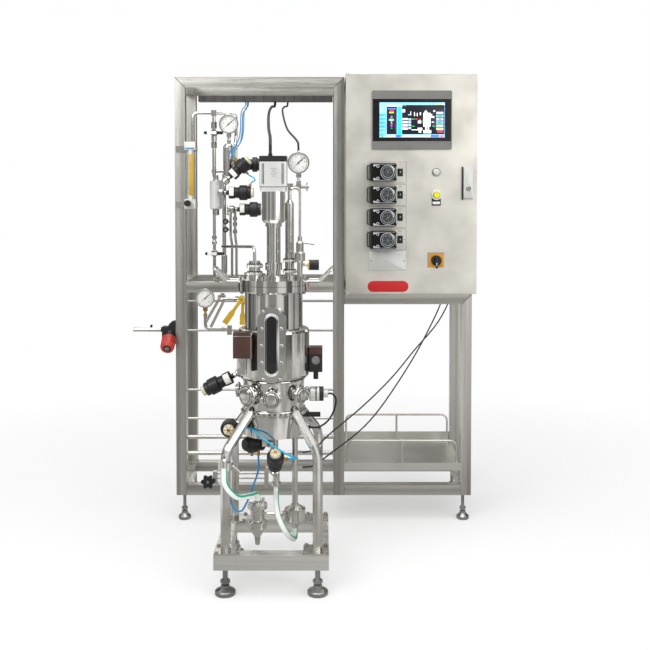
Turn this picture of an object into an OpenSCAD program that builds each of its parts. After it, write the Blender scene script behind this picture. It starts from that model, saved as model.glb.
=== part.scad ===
// Bench bioreactor: a jacketed stainless vessel on its own skid, a tube
// stand behind it with the pipework and the control cabinet.
//
// Axes: X to the right, Y to the rear, Z up. The modules draw in stand
// coordinates (left front corner of the stand at x = 0, y = 0, floor at
// z = 0) and in_row() moves them so that the origin lies under the middle
// of the whole machine.

/* [Stand] */
// Width over the posts
frame_w = 1100; // [1000:10:1300]
// Depth over the posts
frame_d = 338; // [300:2:420]
// Height of the tall left bay
frame_h = 1650; // [1600:5:1750]
// Side of the square frame tube
tube = 38; // [34:1:44]
// Clear width of the left bay
left_bay = 550; // [520:5:600]
// Underside of the bottom rails
rail_low_z = 94; // [80:1:120]
// Underside of the left bay's middle rails
left_mid_z = 854; // [830:1:880]
// Underside of the right bay's top rails
right_mid_z = 810; // [790:1:840]
// Distance of a foot's stud from the stand's outer faces
foot_inset = 28; // [24:1:30]
// Diameter of a stand foot's pad
frame_foot_d = 46; // [36:1:56]
// Diameter of a cross bar in the left bay
rack_bar_d = 9; // [6:1:14]
// Diameter of the two lowest cross bars
rack_low_bar_d = 16; // [12:1:20]

/* [Shelf] */
// Top of the shelf plate
shelf_z = 216; // [200:1:300]
// Sheet thickness of the shelf
shelf_t = 2; // [1.5:0.5:4]
// Height of the folded front edge
shelf_lip = 29; // [20:1:40]
// Height of the folded rear edge
shelf_rise = 32; // [20:1:45]
// Height of the guard rails above their feet
guard_h = 80; // [60:1:110]
// Diameter of the guard rod
guard_d = 8; // [6:1:12]

/* [Cable duct] */
// Height of the duct
duct_h = 24; // [18:1:32]
// Length of the duct
duct_l = 538; // [450:2:540]

/* [Cabinet] */
// Width of the cabinet
cab_w = 482; // [470:1:520]
// Height of the cabinet
cab_h = 812; // [780:1:860]
// Depth of the cabinet's shell
cab_d = 278; // [240:1:320]
// Gap between the cabinet and the middle post
cab_gap = 5; // [3:0.5:20]
// Sheet thickness of the shell
cab_wall = 2; // [1.5:0.5:3]
// Thickness of the door
door_t = 22; // [20:1:30]
// Gap between the door and the shell
door_gap = 2; // [1.5:0.1:3]
// Width of the step round the door's front
door_step = 6; // [4:1:10]

/* [Operator panel] */
// Width of the bezel
hmi_w = 292; // [260:1:320]
// Height of the bezel
hmi_h = 215; // [200:1:230]
// Height of the black glass
glass_h = 154; // [140:1:170]
// Bezel centre below the cabinet's top
hmi_drop = 171; // [160:1:180]
// How far the bezel stands out
hmi_t = 9; // [6:0.5:14]

/* [Pumps] */
// Number of pumps
pump_count = 4; // [2:1:4]
// Distance between pumps
pump_pitch = 82; // [80:0.5:90]
// Topmost pump's axis below the cabinet's top
pump_drop = 362; // [355:1:370]
// Width of a pump's plate
plate_w = 137; // [130:1:150]
// Height of a pump's plate
plate_h = 76; // [72:1:78]
// Width of a pump housing
pump_w = 98; // [92:1:104]
// Height of a pump housing
pump_h = 66; // [62:1:70]
// How far a pump housing stands out
pump_t = 46; // [40:1:60]
// Radius of the rotor chamber
chamber_r = 27; // [24:0.5:29]
// Radius of the circle that carries the rollers
roller_pcd_r = 16; // [14:0.5:17]
// Radius of a roller
roller_r = 6; // [5:0.5:7]

/* [Door controls] */
// Controls' column from the cabinet's right edge
control_inset = 150; // [145:1:160]
// Lock's axis from the cabinet's right edge
lock_inset = 35; // [30:1:45]
// Radius of the lamp
lamp_r = 15; // [12:0.5:18]
// Radius of the push button's cap
button_r = 12; // [10:0.5:14]
// Travel of the push button
button_travel = 4; // [3:0.5:5]

/* [Skid] */
// Width of the skid
skid_w = 350; // [330:2:400]
// Depth of the skid
skid_d = 364; // [340:2:400]
// Side of the skid's square tube
skid_tube = 45; // [40:1:50]
// Underside of the skid's tubes
skid_z = 82; // [70:1:100]
// Diameter of a skid foot's pad
skid_foot_d = 63; // [50:1:76]
// Diameter of a vessel leg
leg_d = 31; // [26:1:36]
// Thickness of a leg plate
leg_plate_t = 6; // [4:1:8]

/* [Vessel] */
// Vessel axis from the stand's left side
vessel_x = 390; // [385:1:400]
// Vessel axis in front of the stand
vessel_out = 493; // [480:1:520]
// Outer radius of the upper wall
wall_r = 92; // [88:1:96]
// Outer radius of the lower wall
low_r = 97; // [96:1:100]
// Wall thickness of the vessel
wall_t = 3; // [2:0.5:5]
// Radius of the lid and of the body flange
flange_r = 114; // [112:1:120]
// Thickness of each flange
flange_t = 18; // [14:1:20]
// Top of the body flange
rim_z = 934; // [925:1:945]
// Outer radius of the heating jacket
jacket_r = 113; // [108:1:116]
// Height of the heating jacket
jacket_h = 156; // [140:1:160]
// Underside of the heating jacket
jacket_z = 640; // [638:1:650]
// Underside of the lower wall's flange
low_flange_z = 530; // [524:1:536]
// Lower end of the bottom skirt
skirt_z = 458; // [450:1:465]
// Number of lid bolts
bolt_count = 8; // [6:2:10]
// Radius of a lid bolt
bolt_r = 4; // [3:0.5:5]

/* [Sight glass] */
// Width of the sight glass frame
sight_w = 88; // [78:1:90]
// Height of the sight glass frame
sight_h = 232; // [220:1:240]
// Width of the glass
sight_glass_w = 31; // [28:1:38]
// Height of the glass
sight_glass_h = 178; // [160:1:184]
// Frame centre above the floor
sight_z = 758; // [750:1:764]
// How far the frame stands out of the jacket
sight_out = 16; // [12:1:24]

/* [Drive] */
// Side of the square motor
motor_side = 86; // [80:1:92]
// Length of the motor's body
motor_h = 78; // [70:1:90]
// Height of the motor's cap
motor_cap_h = 18; // [14:1:22]
// Underside of the motor above the lid
motor_rise = 292; // [286:1:300]
// Radius of the coupling housing
lantern_r = 37; // [35:1:39]
// Length of the coupling housing
lantern_h = 107; // [100:1:112]
// Radius of the seal housing
seal_r = 22; // [20:0.5:24]
// Radius of the agitator's shaft
shaft_r = 6; // [5:0.5:8]
// Radius of an impeller
impeller_r = 34; // [26:1:44]

/* [Gauges] */
// Radius of a gauge
gauge_r = 35; // [30:0.5:36]
// Depth of a gauge's case
gauge_t = 26; // [20:1:34]

/* [Pipework] */
// Pipework's plane in front of the stand
pipe_out = 60; // [55:1:70]
// Valves' plane in front of the stand
valve_out = 110; // [105:1:120]
// Radius of a small process pipe
pipe_r = 5; // [4:0.5:6]
// Radius of an actuator
actuator_r = 27; // [24:0.5:29]

/* [Hidden] */
$fn = 48;

// Fits
clear = 0.3;
eps = 0.01;

// Stand
frame_top = frame_h;
mid_post_x = tube + left_bay;
right_bay_x = mid_post_x + tube;
right_post_x = frame_w - tube;
rear_y = frame_d - tube;
right_top_z = right_mid_z + tube;
left_mid_top = left_mid_z + tube;
rack_bars = [820, 710, 487, 379];
rack_low_bars = [309, 248];

// Cabinet; the door lies in front of the shell, the shell ends behind the rails' front
cab_x = right_bay_x + cab_gap;
cab_z = right_top_z;
cab_top = cab_z + cab_h;
cab_front = -3;
door_back = cab_front - door_gap;
door_front = door_back - door_t;
cab_mid_x = cab_x + cab_w / 2;
hinge_x = cab_x + 5;
hinge_y = door_front + 5;
lug_t = 4;
pin_r = 2.5;
pin_l = 16;
pin_fit = 0.05;
gland_h = 8;
bay_gland_x = [1040, 1010];
bay_gland_y = 150;
hmi_z = cab_top - hmi_drop;
pump_z = cab_top - pump_drop;
plate_x = cab_x + 84;
plate_t = 3;
pump_front = door_front - plate_t;
pump_x = plate_x + 1;
rotor_x = pump_x + pump_w - chamber_r - 5;
rotor_t = 26;
chamber_t = 30;
cover_t = 2;
rocker_x = plate_x + 106;
control_x = cab_x + cab_w - control_inset;
lamp_z = pump_z + 1;
button_z = pump_z - 83;
switch_z = cab_z + 127;
lock_x = cab_x + cab_w - lock_inset;
lock_z = pump_z - 39;
blank_z = cab_z + 126;
badge_z = cab_z + 31;

// Skid and vessel
vessel_y = -vessel_out;
skid_x0 = vessel_x - skid_w / 2;
skid_y0 = vessel_y - skid_d / 2;
skid_top = skid_z + skid_tube;
leg_off = skid_w / 2 - 34;
leg_plate_l = 78;
leg_bend_z = 430;
leg_top_z = 548;
bore_r = wall_r - wall_t;
lid_top = rim_z + flange_t;
jacket_top = jacket_z + jacket_h;
low_flange_top = low_flange_z + 15;
bolt_pcd_r = flange_r - 9;
dish_z = low_flange_z - 20;
outlet_r = 12;
sight_y = -(jacket_r + sight_out);

// Drive, all on the vessel's axis
motor_z = lid_top + motor_rise;
motor_flange_t = 16;
lantern_z = motor_z - lantern_h;
seal_top = lantern_z;
seal_clamp_z = lid_top + 27;
seal_clamp_t = 22;

// Everything is shifted so that the origin is under the middle of the machine
inlet_x = -160;
span_x0 = inlet_x;
span_x1 = cab_x + cab_w;
span_y0 = skid_y0 + skid_tube / 2 - skid_foot_d / 2;
span_y1 = frame_d - tube / 2 + frame_foot_d / 2;
centre_x = (span_x0 + span_x1) / 2;
centre_y = (span_y0 + span_y1) / 2;

steel = "#c8c8c4";
bright = "#e2e2e0";
dark = "#1c1c1e";
cream = "#d8d6bf";
brass = "#c8a552";

// ---------- shared shapes ----------

function unit(v) = v / norm(v);

module in_row() {
    translate([-centre_x, -centre_y, 0]) children();
}

// Draws its children, made along +Z from the origin, from point a towards point b
module along(a, b) {
    d = b - a;
    translate(a) rotate([0, acos(d[2] / norm(d)), atan2(d[1], d[0])]) children();
}

module rod(a, b, r) {
    along(a, b) cylinder(r = r, h = norm(b - a));
}

// Points of the arc that rounds corner p between a and b
function bend_arc(a, p, b, bend) =
    let (u = unit(a - p), v = unit(b - p), turn = 180 - acos(u * v),
         reach = bend * tan(turn / 2), c = p + unit(u + v) * bend / cos(turn / 2),
         ex = (p + u * reach - c) / bend, ez = unit(cross(ex, (p + v * reach - c) / bend)),
         ey = cross(ez, ex), n = max(2, ceil(turn / 20)))
    [for (i = [0 : n]) c + bend * (cos(turn * i / n) * ex + sin(turn * i / n) * ey)];

// A tube bent along a list of points
module pipe_run(pts, r, bend) {
    last = len(pts) - 1;
    if (last == 1) rod(pts[0], pts[1], r);
    else swept(concat([pts[0]],
        [for (i = [1 : last - 1]) each bend_arc(pts[i - 1], pts[i], pts[i + 1], bend)],
        [pts[last]]), r, 12);
}

// A turned piece along +Z from a list of [radius, height] points
module turned(profile) {
    h = profile[len(profile) - 1][1];
    rotate_extrude() polygon(concat([[0, profile[0][1]]], profile, [[0, h]]));
}

module block(x0, x1, y0, y1, z0, z1) {
    translate([x0, y0, z0]) cube([x1 - x0, y1 - y0, z1 - z0]);
}

// A plate in the XZ plane with round corners, its back at y, standing out to -Y
module face_plate(x, z, w, h, y, t, r) {
    translate([x, y, z]) rotate([90, 0, 0]) linear_extrude(t) rounded(w, h, r);
}

module rounded(w, h, r) {
    square([w - 2 * r, h], center = true);
    square([w, h - 2 * r], center = true);
    for (sx = [-1, 1], sy = [-1, 1])
        translate([sx * (w / 2 - r), sy * (h / 2 - r)]) circle(r = r);
}

// Swept tube: one ring at each point of the route
function tangents(p) = [for (i = [0 : len(p) - 1])
    i == 0 ? unit(p[1] - p[0])
    : i == len(p) - 1 ? unit(p[i] - p[i - 1])
    : unit(unit(p[i] - p[i - 1]) + unit(p[i + 1] - p[i]))];
function square_to(n, t) = unit(n - t * (n * t));
function normals(t, i, n) = i == len(t) ? []
    : concat([square_to(n, t[i])], normals(t, i + 1, square_to(n, t[i])));

module swept(route, r, sides) {
    t = tangents(route);
    first = abs(t[0][1]) < 0.9 ? [0, 1, 0] : [1, 0, 0];
    n = normals(t, 0, first);
    last = len(route) - 1;
    points = [for (i = [0 : last]) let (b = cross(t[i], n[i]))
        for (k = [0 : sides - 1])
            route[i] + r * (cos(360 * k / sides) * n[i] + sin(360 * k / sides) * b)];
    walls = [for (i = [0 : last - 1], k = [0 : sides - 1])
        [i * sides + k, (i + 1) * sides + k,
         (i + 1) * sides + (k + 1) % sides, i * sides + (k + 1) % sides]];
    start = [for (k = [0 : sides - 1]) k];
    end = [for (k = [sides - 1 : -1 : 0]) last * sides + k];
    polyhedron(points = points, faces = concat([start, end], walls), convexity = 4);
}

// ---------- stand ----------

// A mitred upright: its top is cut at 45 degrees towards side (1 right, -1 left)
module post(x, y, z0, z1, side) {
    low_x = side > 0 ? x : x + tube;
    inner_x = side > 0 ? x + tube : x;
    translate([0, y + tube, 0]) rotate([90, 0, 0]) linear_extrude(tube)
        polygon([[low_x, z0], [inner_x, z0], [inner_x, z1 - tube], [low_x, z1]]);
}

module mitred_rail(x0, x1, y, z_top, left, right) {
    translate([0, y + tube, 0]) rotate([90, 0, 0]) linear_extrude(tube)
        polygon([[x0, z_top], [x1, z_top],
                 [x1 - (right ? tube : 0), z_top - tube],
                 [x0 + (left ? tube : 0), z_top - tube]]);
}

module frame_posts() {
    color(steel) for (y = [0, rear_y]) {
        post(0, y, rail_low_z, frame_top, 1);
        post(mid_post_x, y, rail_low_z, frame_top, -1);
        post(right_post_x, y, rail_low_z, right_top_z, -1);
    }
}

module frame_rails() {
    color(steel) {
        for (y = [0, rear_y]) {
            block(tube, mid_post_x, y, y + tube, rail_low_z, rail_low_z + tube);
            block(right_bay_x, right_post_x, y, y + tube, rail_low_z, rail_low_z + tube);
            block(tube, mid_post_x, y, y + tube, left_mid_z, left_mid_top);
            mitred_rail(0, right_bay_x, y, frame_top, true, true);
            mitred_rail(right_bay_x, frame_w, y, right_top_z, false, true);
        }
        for (x = [0, mid_post_x, right_post_x])
            block(x, x + tube, tube, rear_y, rail_low_z, rail_low_z + tube);
        for (x = [0, mid_post_x]) {
            block(x, x + tube, tube, rear_y, left_mid_z, left_mid_top);
            block(x, x + tube, tube, rear_y, frame_top - tube, frame_top);
        }
        block(right_post_x, frame_w, tube, rear_y, right_mid_z, right_top_z);
        for (z = rack_bars) rod([tube, tube / 2, z], [mid_post_x, tube / 2, z], rack_bar_d / 2);
        for (z = rack_low_bars)
            rod([tube, tube / 2, z], [mid_post_x, tube / 2, z], rack_low_bar_d / 2);
    }
}

// A levelling foot: pad, ball socket, stud with its lock nut; its top meets height h
module levelling_foot(d, h, stud_r) {
    turned([[d / 2 - 2, 0], [d / 2, 3], [d / 2, 12], [d / 2 - 3, 15], [stud_r + 6, 22],
            [stud_r + 5, 30], [stud_r, 33], [stud_r, h]]);
    translate([0, 0, 36]) cylinder(r = stud_r * 1.9, h = 10, $fn = 6);
}

module levelling_feet() {
    color(steel) {
        for (x = [foot_inset, frame_w - foot_inset], y = [tube / 2, frame_d - tube / 2])
            translate([x, y, 0]) levelling_foot(frame_foot_d, rail_low_z, 6);
        for (x = [-1, 1], y = [-1, 1])
            translate([vessel_x + x * leg_off, vessel_y + y * (skid_d - skid_tube) / 2, 0])
                levelling_foot(skid_foot_d, skid_z, 8);
    }
}

// A folded tray between the right bay's posts, with a bent rod rail along front and back
module shelf_tray() {
    x0 = right_bay_x + clear;
    x1 = right_post_x - clear;
    rod_r = guard_d / 2;
    color(bright) {
        translate([x0, 0, 0]) rotate([90, 0, 90]) linear_extrude(x1 - x0) polygon([
            [0, shelf_z - shelf_lip], [0, shelf_z], [frame_d - shelf_t, shelf_z],
            [frame_d - shelf_t, shelf_z + shelf_rise], [frame_d, shelf_z + shelf_rise],
            [frame_d, shelf_z - shelf_t], [shelf_t, shelf_z - shelf_t],
            [shelf_t, shelf_z - shelf_lip]]);
        guard_rail(x0 + 14, x1 - 14, rod_r + 8, shelf_z + guard_h, rod_r);
        guard_rail(x0 + 14, x1 - 14, rear_y - rod_r - 4, shelf_z + shelf_rise + guard_h, rod_r);
    }
}

module guard_rail(x0, x1, y, z, r) {
    mid = (x0 + x1) / 2;
    pipe_run([[x0, y, shelf_z], [x0, y, z], [x1, y, z], [x1, y, shelf_z]], r, 24);
    rod([mid, y, shelf_z], [mid, y, z - r / 2], r);
}

// Cable duct under the rear top rail of the left bay
module cable_duct() {
    x0 = tube + 10;
    z = frame_top - tube;
    color("#6a6a68") difference() {
        block(x0, x0 + duct_l, rear_y, frame_d, z - duct_h, z);
        for (x = [x0 + 20 : 40 : x0 + duct_l - 20])
            block(x, x + 8, rear_y - 1, rear_y + 3, z - duct_h - 1, z - 5);
    }
}

// ---------- cabinet ----------

module cabinet_shell() {
    lip = 16;
    color(steel) {
        difference() {
            block(cab_x, cab_x + cab_w, cab_front, cab_front + cab_d, cab_z, cab_top);
            block(cab_x + cab_wall, cab_x + cab_w - cab_wall, cab_front + cab_wall,
                  cab_front + cab_d - cab_wall, cab_z + cab_wall, cab_top - cab_wall);
            block(cab_x + lip, cab_x + cab_w - lip, cab_front - 1, cab_front + 5,
                  cab_z + lip, cab_top - lip);
        }
        for (x = bay_gland_x) translate([x, bay_gland_y, cab_z - gland_h])
            cylinder(r = 6, h = gland_h);
        for (z = [cab_z, cab_top - lug_t]) pivot_lug(z);
        for (z = [cab_z + lug_t, cab_top - lug_t - pin_l])
            translate([hinge_x, hinge_y, z]) cylinder(r = pin_r, h = pin_l);
    }
}

// Lug at a corner of the shell that holds one of the door's two pivot pins
module pivot_lug(z) {
    block(cab_x, cab_x + 12, door_front + 1, cab_front, z, z + lug_t);
}

// Mounting plate with rails and modules inside the cabinet
module control_gear() {
    back = cab_front + cab_d - cab_wall;
    x0 = cab_x + 40;
    x1 = cab_x + cab_w - 40;
    color("#b9bcbe") {
        block(x0, x1, back - 18, back - 15, cab_z + 50, cab_top - 50);
        for (x = [x0 + 10, x1 - 20], z = [cab_z + 70, cab_top - 80])
            block(x, x + 10, back - 15, back - clear, z, z + 10);
        for (i = [0 : 2]) {
            z = cab_z + 160 + 220 * i;
            block(x0 + 20, x1 - 20, back - 25, back - 18, z, z + 35);
            for (k = [0 : 6]) {
                x = x0 + 30 + 46 * k;
                block(x, x + 42, back - 85, back - 25, z - 25, z + 60);
            }
        }
    }
}

module cabinet_door() {
    s = door_step;
    edge = 10;
    z0 = cab_z + lug_t + clear;
    z1 = cab_top - lug_t - clear;
    color(steel) difference() {
        union() {
            block(cab_x, cab_x + cab_w, door_front + 3, door_back, z0, z1);
            block(cab_x + s, cab_x + cab_w - s, door_front, door_front + 4, z0 + s, z1 - s);
        }
        block(cab_x + edge, cab_x + cab_w - edge, door_front + 5, door_back + 1,
              z0 + edge, z1 - edge);
        for (z = [z0 - 1, z1 - pin_l]) translate([hinge_x, hinge_y, z])
            cylinder(r = pin_r + pin_fit, h = pin_l + 1);
    }
}

module hmi_bezel() {
    color("#a9abac") difference() {
        face_plate(cab_mid_x, hmi_z, hmi_w, hmi_h, door_front, hmi_t, 5);
        block(cab_mid_x - hmi_w / 2 + 3, cab_mid_x + hmi_w / 2 - 3,
              door_front - hmi_t - 1, door_front - hmi_t + 4,
              hmi_z - glass_h / 2, hmi_z + glass_h / 2);
    }
}

module hmi_screen() {
    color(dark)
        block(cab_mid_x - hmi_w / 2 + 3 + clear, cab_mid_x + hmi_w / 2 - 3 - clear,
              door_front - hmi_t + 1, door_front - hmi_t + 4 - clear / 3,
              hmi_z - glass_h / 2 + clear, hmi_z + glass_h / 2 - clear);
}

function pump_axis(i) = pump_z - i * pump_pitch;

module pump_housings() {
    color(dark) for (i = [0 : pump_count - 1]) {
        z = pump_axis(i);
        difference() {
            face_plate(pump_x + pump_w / 2, z, pump_w, pump_h, pump_front, pump_t, 8);
            translate([rotor_x, pump_front - pump_t + chamber_t, z]) rotate([90, 0, 0])
                cylinder(r = chamber_r, h = chamber_t + 1);
            block(rotor_x, pump_x + pump_w + 1, pump_front - pump_t - 1,
                  pump_front - pump_t + chamber_t, z - chamber_r + 6, z + chamber_r - 6);
        }
        // axle stub that carries the rotor
        translate([rotor_x, pump_front - pump_t + chamber_t, z]) rotate([90, 0, 0])
            cylinder(r = 4, h = chamber_t - 4);
    }
}

module pump_covers() {
    color("#e8f4f8", 0.4) for (i = [0 : pump_count - 1])
        face_plate(pump_x + pump_w / 2 + 3, pump_axis(i), pump_w - 8, pump_h - 6,
                   pump_front - pump_t, cover_t, 7);
}

module pump_rotor(i) {
    y = pump_front - pump_t + chamber_t - 1;
    color("#bdbfc2") translate([rotor_x, y, pump_axis(i)]) rotate([90, 0, 0]) {
        difference() {
            union() {
                cylinder(r = roller_pcd_r - 3, h = rotor_t);
                for (h = [0, rotor_t - 3]) translate([0, 0, h])
                    cylinder(r = roller_pcd_r + roller_r - 3, h = 3);
                for (a = [0 : 90 : 270]) rotate(a) translate([roller_pcd_r, 0, 3])
                    cylinder(r = roller_r, h = rotor_t - 6);
            }
            translate([0, 0, -1]) cylinder(r = 4 + clear, h = rotor_t + 2);
        }
    }
}

module rocker_switches() {
    color(dark) for (i = [0 : pump_count - 1]) {
        face_plate(rocker_x + 9, pump_axis(i), 20, 28, pump_front, 2, 2);
        translate([rocker_x + 2, pump_front - 2, pump_axis(i)]) rotate([0, 90, 0])
            linear_extrude(14) polygon([[-11, 0], [11, 0], [11, -2], [0, -3], [-11, -7]]);
    }
}

// Plates and fixed fittings on the door's face
module door_plates() {
    color(bright) {
        for (i = [0 : pump_count - 1])
            face_plate(plate_x + plate_w / 2, pump_axis(i), plate_w, plate_h, door_front,
                       plate_t, 2);
        face_plate(plate_x + plate_w / 2, blank_z, plate_w, 72, door_front, plate_t, 2);
        face_plate(plate_x + plate_w / 2 + 3, badge_z, 150, 40, door_front, 1, 19);
        face_plate(lock_x, lock_z, 36, 121, door_front, 7, 10);
        translate([lock_x, door_front - 7, lock_z - 20]) rotate([90, 0, 0])
            cylinder(r = 8, h = 3);
    }
    color("#c8c4b4") translate([control_x, door_front, lamp_z]) rotate([90, 0, 0])
        turned([[lamp_r, 0], [lamp_r, 4], [lamp_r - 3, 5], [lamp_r - 3, 10],
                [lamp_r - 6, 14]]);
    color(dark) translate([control_x, door_front, button_z]) rotate([90, 0, 0])
        difference() {
            cylinder(r = button_r + 4, h = 9);
            translate([0, 0, 1]) cylinder(r = button_r + clear, h = 9);
        }
    color("white") face_plate(control_x, button_z - 30, 34, 22, door_front, 1, 2);
    color("#d9862b") face_plate(control_x, switch_z, 57, 52, door_front, 5, 3);
}

module push_button() {
    color("#e3c526") translate([control_x, door_front - 1 - button_travel, button_z])
        rotate([90, 0, 0]) turned([[button_r, 0], [button_r, 11], [button_r - 2, 13]]);
}

// Rotary knob with a grip bar, pointing down
module main_switch_knob() {
    color(dark) translate([control_x, door_front - 5 - clear, switch_z]) rotate([90, 0, 0]) {
        cylinder(r = 19, h = 8);
        translate([0, -3, 8]) linear_extrude(14) rounded(11, 34, 5);
    }
}

// Swing lever over the lock's plate; it turns about its upper end
module door_handle() {
    top_z = lock_z + 46;
    color(bright) {
        translate([lock_x, door_front - 7 - clear, top_z]) rotate([90, 0, 0])
            cylinder(r = 11, h = 13);
        face_plate(lock_x, top_z - 30, 20, 82, door_front - 12, 8, 9);
    }
}

// ---------- skid and vessel ----------

module skid_base() {
    x1 = skid_x0 + skid_w;
    y1 = skid_y0 + skid_d;
    color(steel) {
        for (y = [skid_y0, y1 - skid_tube]) block(skid_x0, x1, y, y + skid_tube, skid_z, skid_top);
        for (x = [skid_x0, x1 - skid_tube])
            block(x, x + skid_tube, skid_y0 + skid_tube, y1 - skid_tube, skid_z, skid_top);
    }
}

// Leg foot plate with its bolts, its outer corner on the skid's corner
module leg_plate(sx, sy) {
    x = vessel_x + sx * (skid_w - leg_plate_l) / 2;
    y = vessel_y + sy * (skid_d - leg_plate_l) / 2;
    translate([x, y, skid_top]) linear_extrude(leg_plate_t) rounded(leg_plate_l, leg_plate_l, 4);
    for (bx = [-1, 1], by = [-1, 1])
        translate([x + bx * 30, y + by * 30, skid_top + leg_plate_t])
            cylinder(r = 6, h = 6, $fn = 6);
}

// Four legs: upright tubes, bent in to the vessel's lower wall
module vessel_legs() {
    rim = low_r + 4;
    color(bright) for (sx = [-1, 1], sy = [-1, 1]) {
        foot = [vessel_x + sx * leg_off, vessel_y + sy * (skid_d / 2 - 39), skid_top];
        knee = [foot[0], foot[1], leg_bend_z];
        dir = unit([foot[0] - vessel_x, foot[1] - vessel_y, 0]);
        head = [vessel_x, vessel_y, leg_top_z] + dir * (rim - 12);
        leg_plate(sx, sy);
        difference() {
            pipe_run([foot, knee, head], leg_d / 2, 60);
            translate([vessel_x, vessel_y, 0]) cylinder(r = low_r + 3 + 2 * clear, h = rim_z);
        }
    }
}

// Turned shell, open at its rim: flange, upper wall, lower wall, its flange, skirt, dish
module vessel_body() {
    dish = [for (a = [0 : 15 : 75]) [bore_r * cos(a), dish_z - 34 * sin(a)]];
    dish_out = [for (a = [75 : -15 : 0]) [(bore_r + 4) * cos(a), dish_z - 4 - 36 * sin(a)]];
    color(bright) translate([vessel_x, vessel_y, 0]) difference() {
        rotate_extrude() polygon(concat(
            [[bore_r, rim_z], [flange_r, rim_z], [flange_r, rim_z - flange_t],
             [wall_r + 3, rim_z - flange_t], [wall_r, rim_z - flange_t - 6], [wall_r, jacket_z - 3],
             [low_r, jacket_z - 8], [low_r, low_flange_top], [low_r + 3, low_flange_top - 1],
             [low_r + 3, low_flange_z], [low_r, low_flange_z], [low_r, skirt_z],
             [low_r - wall_t, skirt_z], [low_r - wall_t, dish_z - 4]],
            [for (i = [len(dish_out) - 1 : -1 : 0]) dish_out[i]],
            [[outlet_r, dish_z - 40], [outlet_r, dish_z - 35]],
            [for (i = [len(dish) - 1 : -1 : 0]) dish[i]]));
        translate([0, 0, sight_z]) sight_slot(sight_glass_w, sight_glass_h, 0);
        for (a = [0 : 360 / bolt_count : 359]) rotate(a + 180 / bolt_count)
            translate([bolt_pcd_r, 0, rim_z - flange_t - 1])
                cylinder(r = bolt_r + clear, h = flange_t + 2);
    }
}

// Oblong cutter from the vessel's axis to the front
module sight_slot(w, h, grow) {
    rotate([90, 0, 0]) linear_extrude(flange_r + 60) oblong(w + 2 * grow, h + 2 * grow);
}

module oblong(w, h) {
    square([w, h - w], center = true);
    for (s = [-1, 1]) translate([0, s * (h - w) / 2]) circle(r = w / 2);
}

module heating_jacket() {
    color("#b4b2a8") translate([vessel_x, vessel_y, 0]) difference() {
        rotate_extrude() polygon([
            [wall_r + clear, jacket_z], [jacket_r - 10, jacket_z], [jacket_r - 3, jacket_z + 3],
            [jacket_r, jacket_z + 10], [jacket_r, jacket_top - 10],
            [jacket_r - 3, jacket_top - 3], [jacket_r - 10, jacket_top],
            [wall_r + clear, jacket_top]]);
        translate([0, 0, sight_z]) sight_slot(sight_w, sight_h, clear);
    }
}

module vessel_lid() {
    color(bright) translate([vessel_x, vessel_y, 0]) {
        difference() {
            union() {
                translate([0, 0, rim_z]) cylinder(r = flange_r, h = flange_t);
                translate([0, 0, rim_z - 8]) cylinder(r = bore_r - clear, h = 8 + eps);
                translate([0, 0, lid_top]) cylinder(r = seal_r + 12, h = 8);
            }
            translate([0, 0, rim_z - 20]) cylinder(r = shaft_r + clear, h = 60);
            for (a = [0 : 360 / bolt_count : 359]) rotate(a + 180 / bolt_count)
                translate([bolt_pcd_r, 0, rim_z - 1]) cylinder(r = bolt_r + clear, h = flange_t + 2);
        }
        for (s = [-1, 1]) lid_handle(s);
    }
}

// Bent rod handle welded to the lid's edge
module lid_handle(s) {
    half = 34;
    root = sqrt(pow(flange_r, 2) - pow(half, 2)) - 4;
    bend = flange_r + 32;
    grip = flange_r + 74;
    z = lid_top - 8;
    pipe_run([[s * root, -half, z], [s * bend, -half, z], [s * grip, -half, z + 42],
              [s * grip, half, z + 42], [s * bend, half, z], [s * root, half, z]], 4.5, 14);
}

module lid_bolts() {
    color(steel) translate([vessel_x, vessel_y, 0])
        for (a = [0 : 360 / bolt_count : 359]) rotate(a + 180 / bolt_count)
            translate([bolt_pcd_r, 0, 0]) {
                translate([0, 0, rim_z - flange_t - 10])
                    cylinder(r = bolt_r, h = 2 * flange_t + 16);
                translate([0, 0, lid_top]) cylinder(r = bolt_r * 1.9, h = 7, $fn = 6);
                translate([0, 0, rim_z - flange_t - 7]) cylinder(r = bolt_r * 1.9, h = 7, $fn = 6);
            }
}

// Oblong frame welded in the wall, with the ring that clamps the glass and its bolts
module sight_glass_frame() {
    bolts = [for (s = [-1, 1], i = [-2 : 2]) [s * (sight_w / 2 - 13 - abs(i) * abs(i) * 1.2), i * 52]];
    color(bright) translate([vessel_x, vessel_y, sight_z]) {
        difference() {
            translate([0, sight_y, 0]) rotate([-90, 0, 0]) linear_extrude(sight_out + 24)
                difference() {
                    oblong(sight_w, sight_h);
                    oblong(sight_glass_w, sight_glass_h);
                }
            translate([0, 0, -sight_z]) cylinder(r = wall_r + clear, h = rim_z);
            translate([0, sight_y - 1, 0]) rotate([-90, 0, 0]) linear_extrude(5)
                oblong(sight_glass_w + 14, sight_glass_h + 14);
        }
        for (b = bolts) translate([b[0], sight_y, b[1]]) rotate([90, 0, 0])
            cylinder(r = 4.5, h = 4, $fn = 6);
    }
}

module sight_glass() {
    color("#20282c") translate([vessel_x, vessel_y + sight_y, sight_z]) rotate([-90, 0, 0])
        linear_extrude(4 - clear / 3) oblong(sight_glass_w + 14 - 2 * clear, sight_glass_h + 14 - 2 * clear);
}

// A radial port: stub, clamp and cap. a is the angle from the front, towards the right
module radial_port(a, z, r, reach) {
    translate([vessel_x, vessel_y, z]) rotate(a) rotate([90, 0, 0])
        translate([0, 0, low_r])
            turned([[r - 5, -6], [r - 5, reach - 16], [r, reach - 14], [r, reach - 3],
                    [r - 3, reach]]);
}

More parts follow.
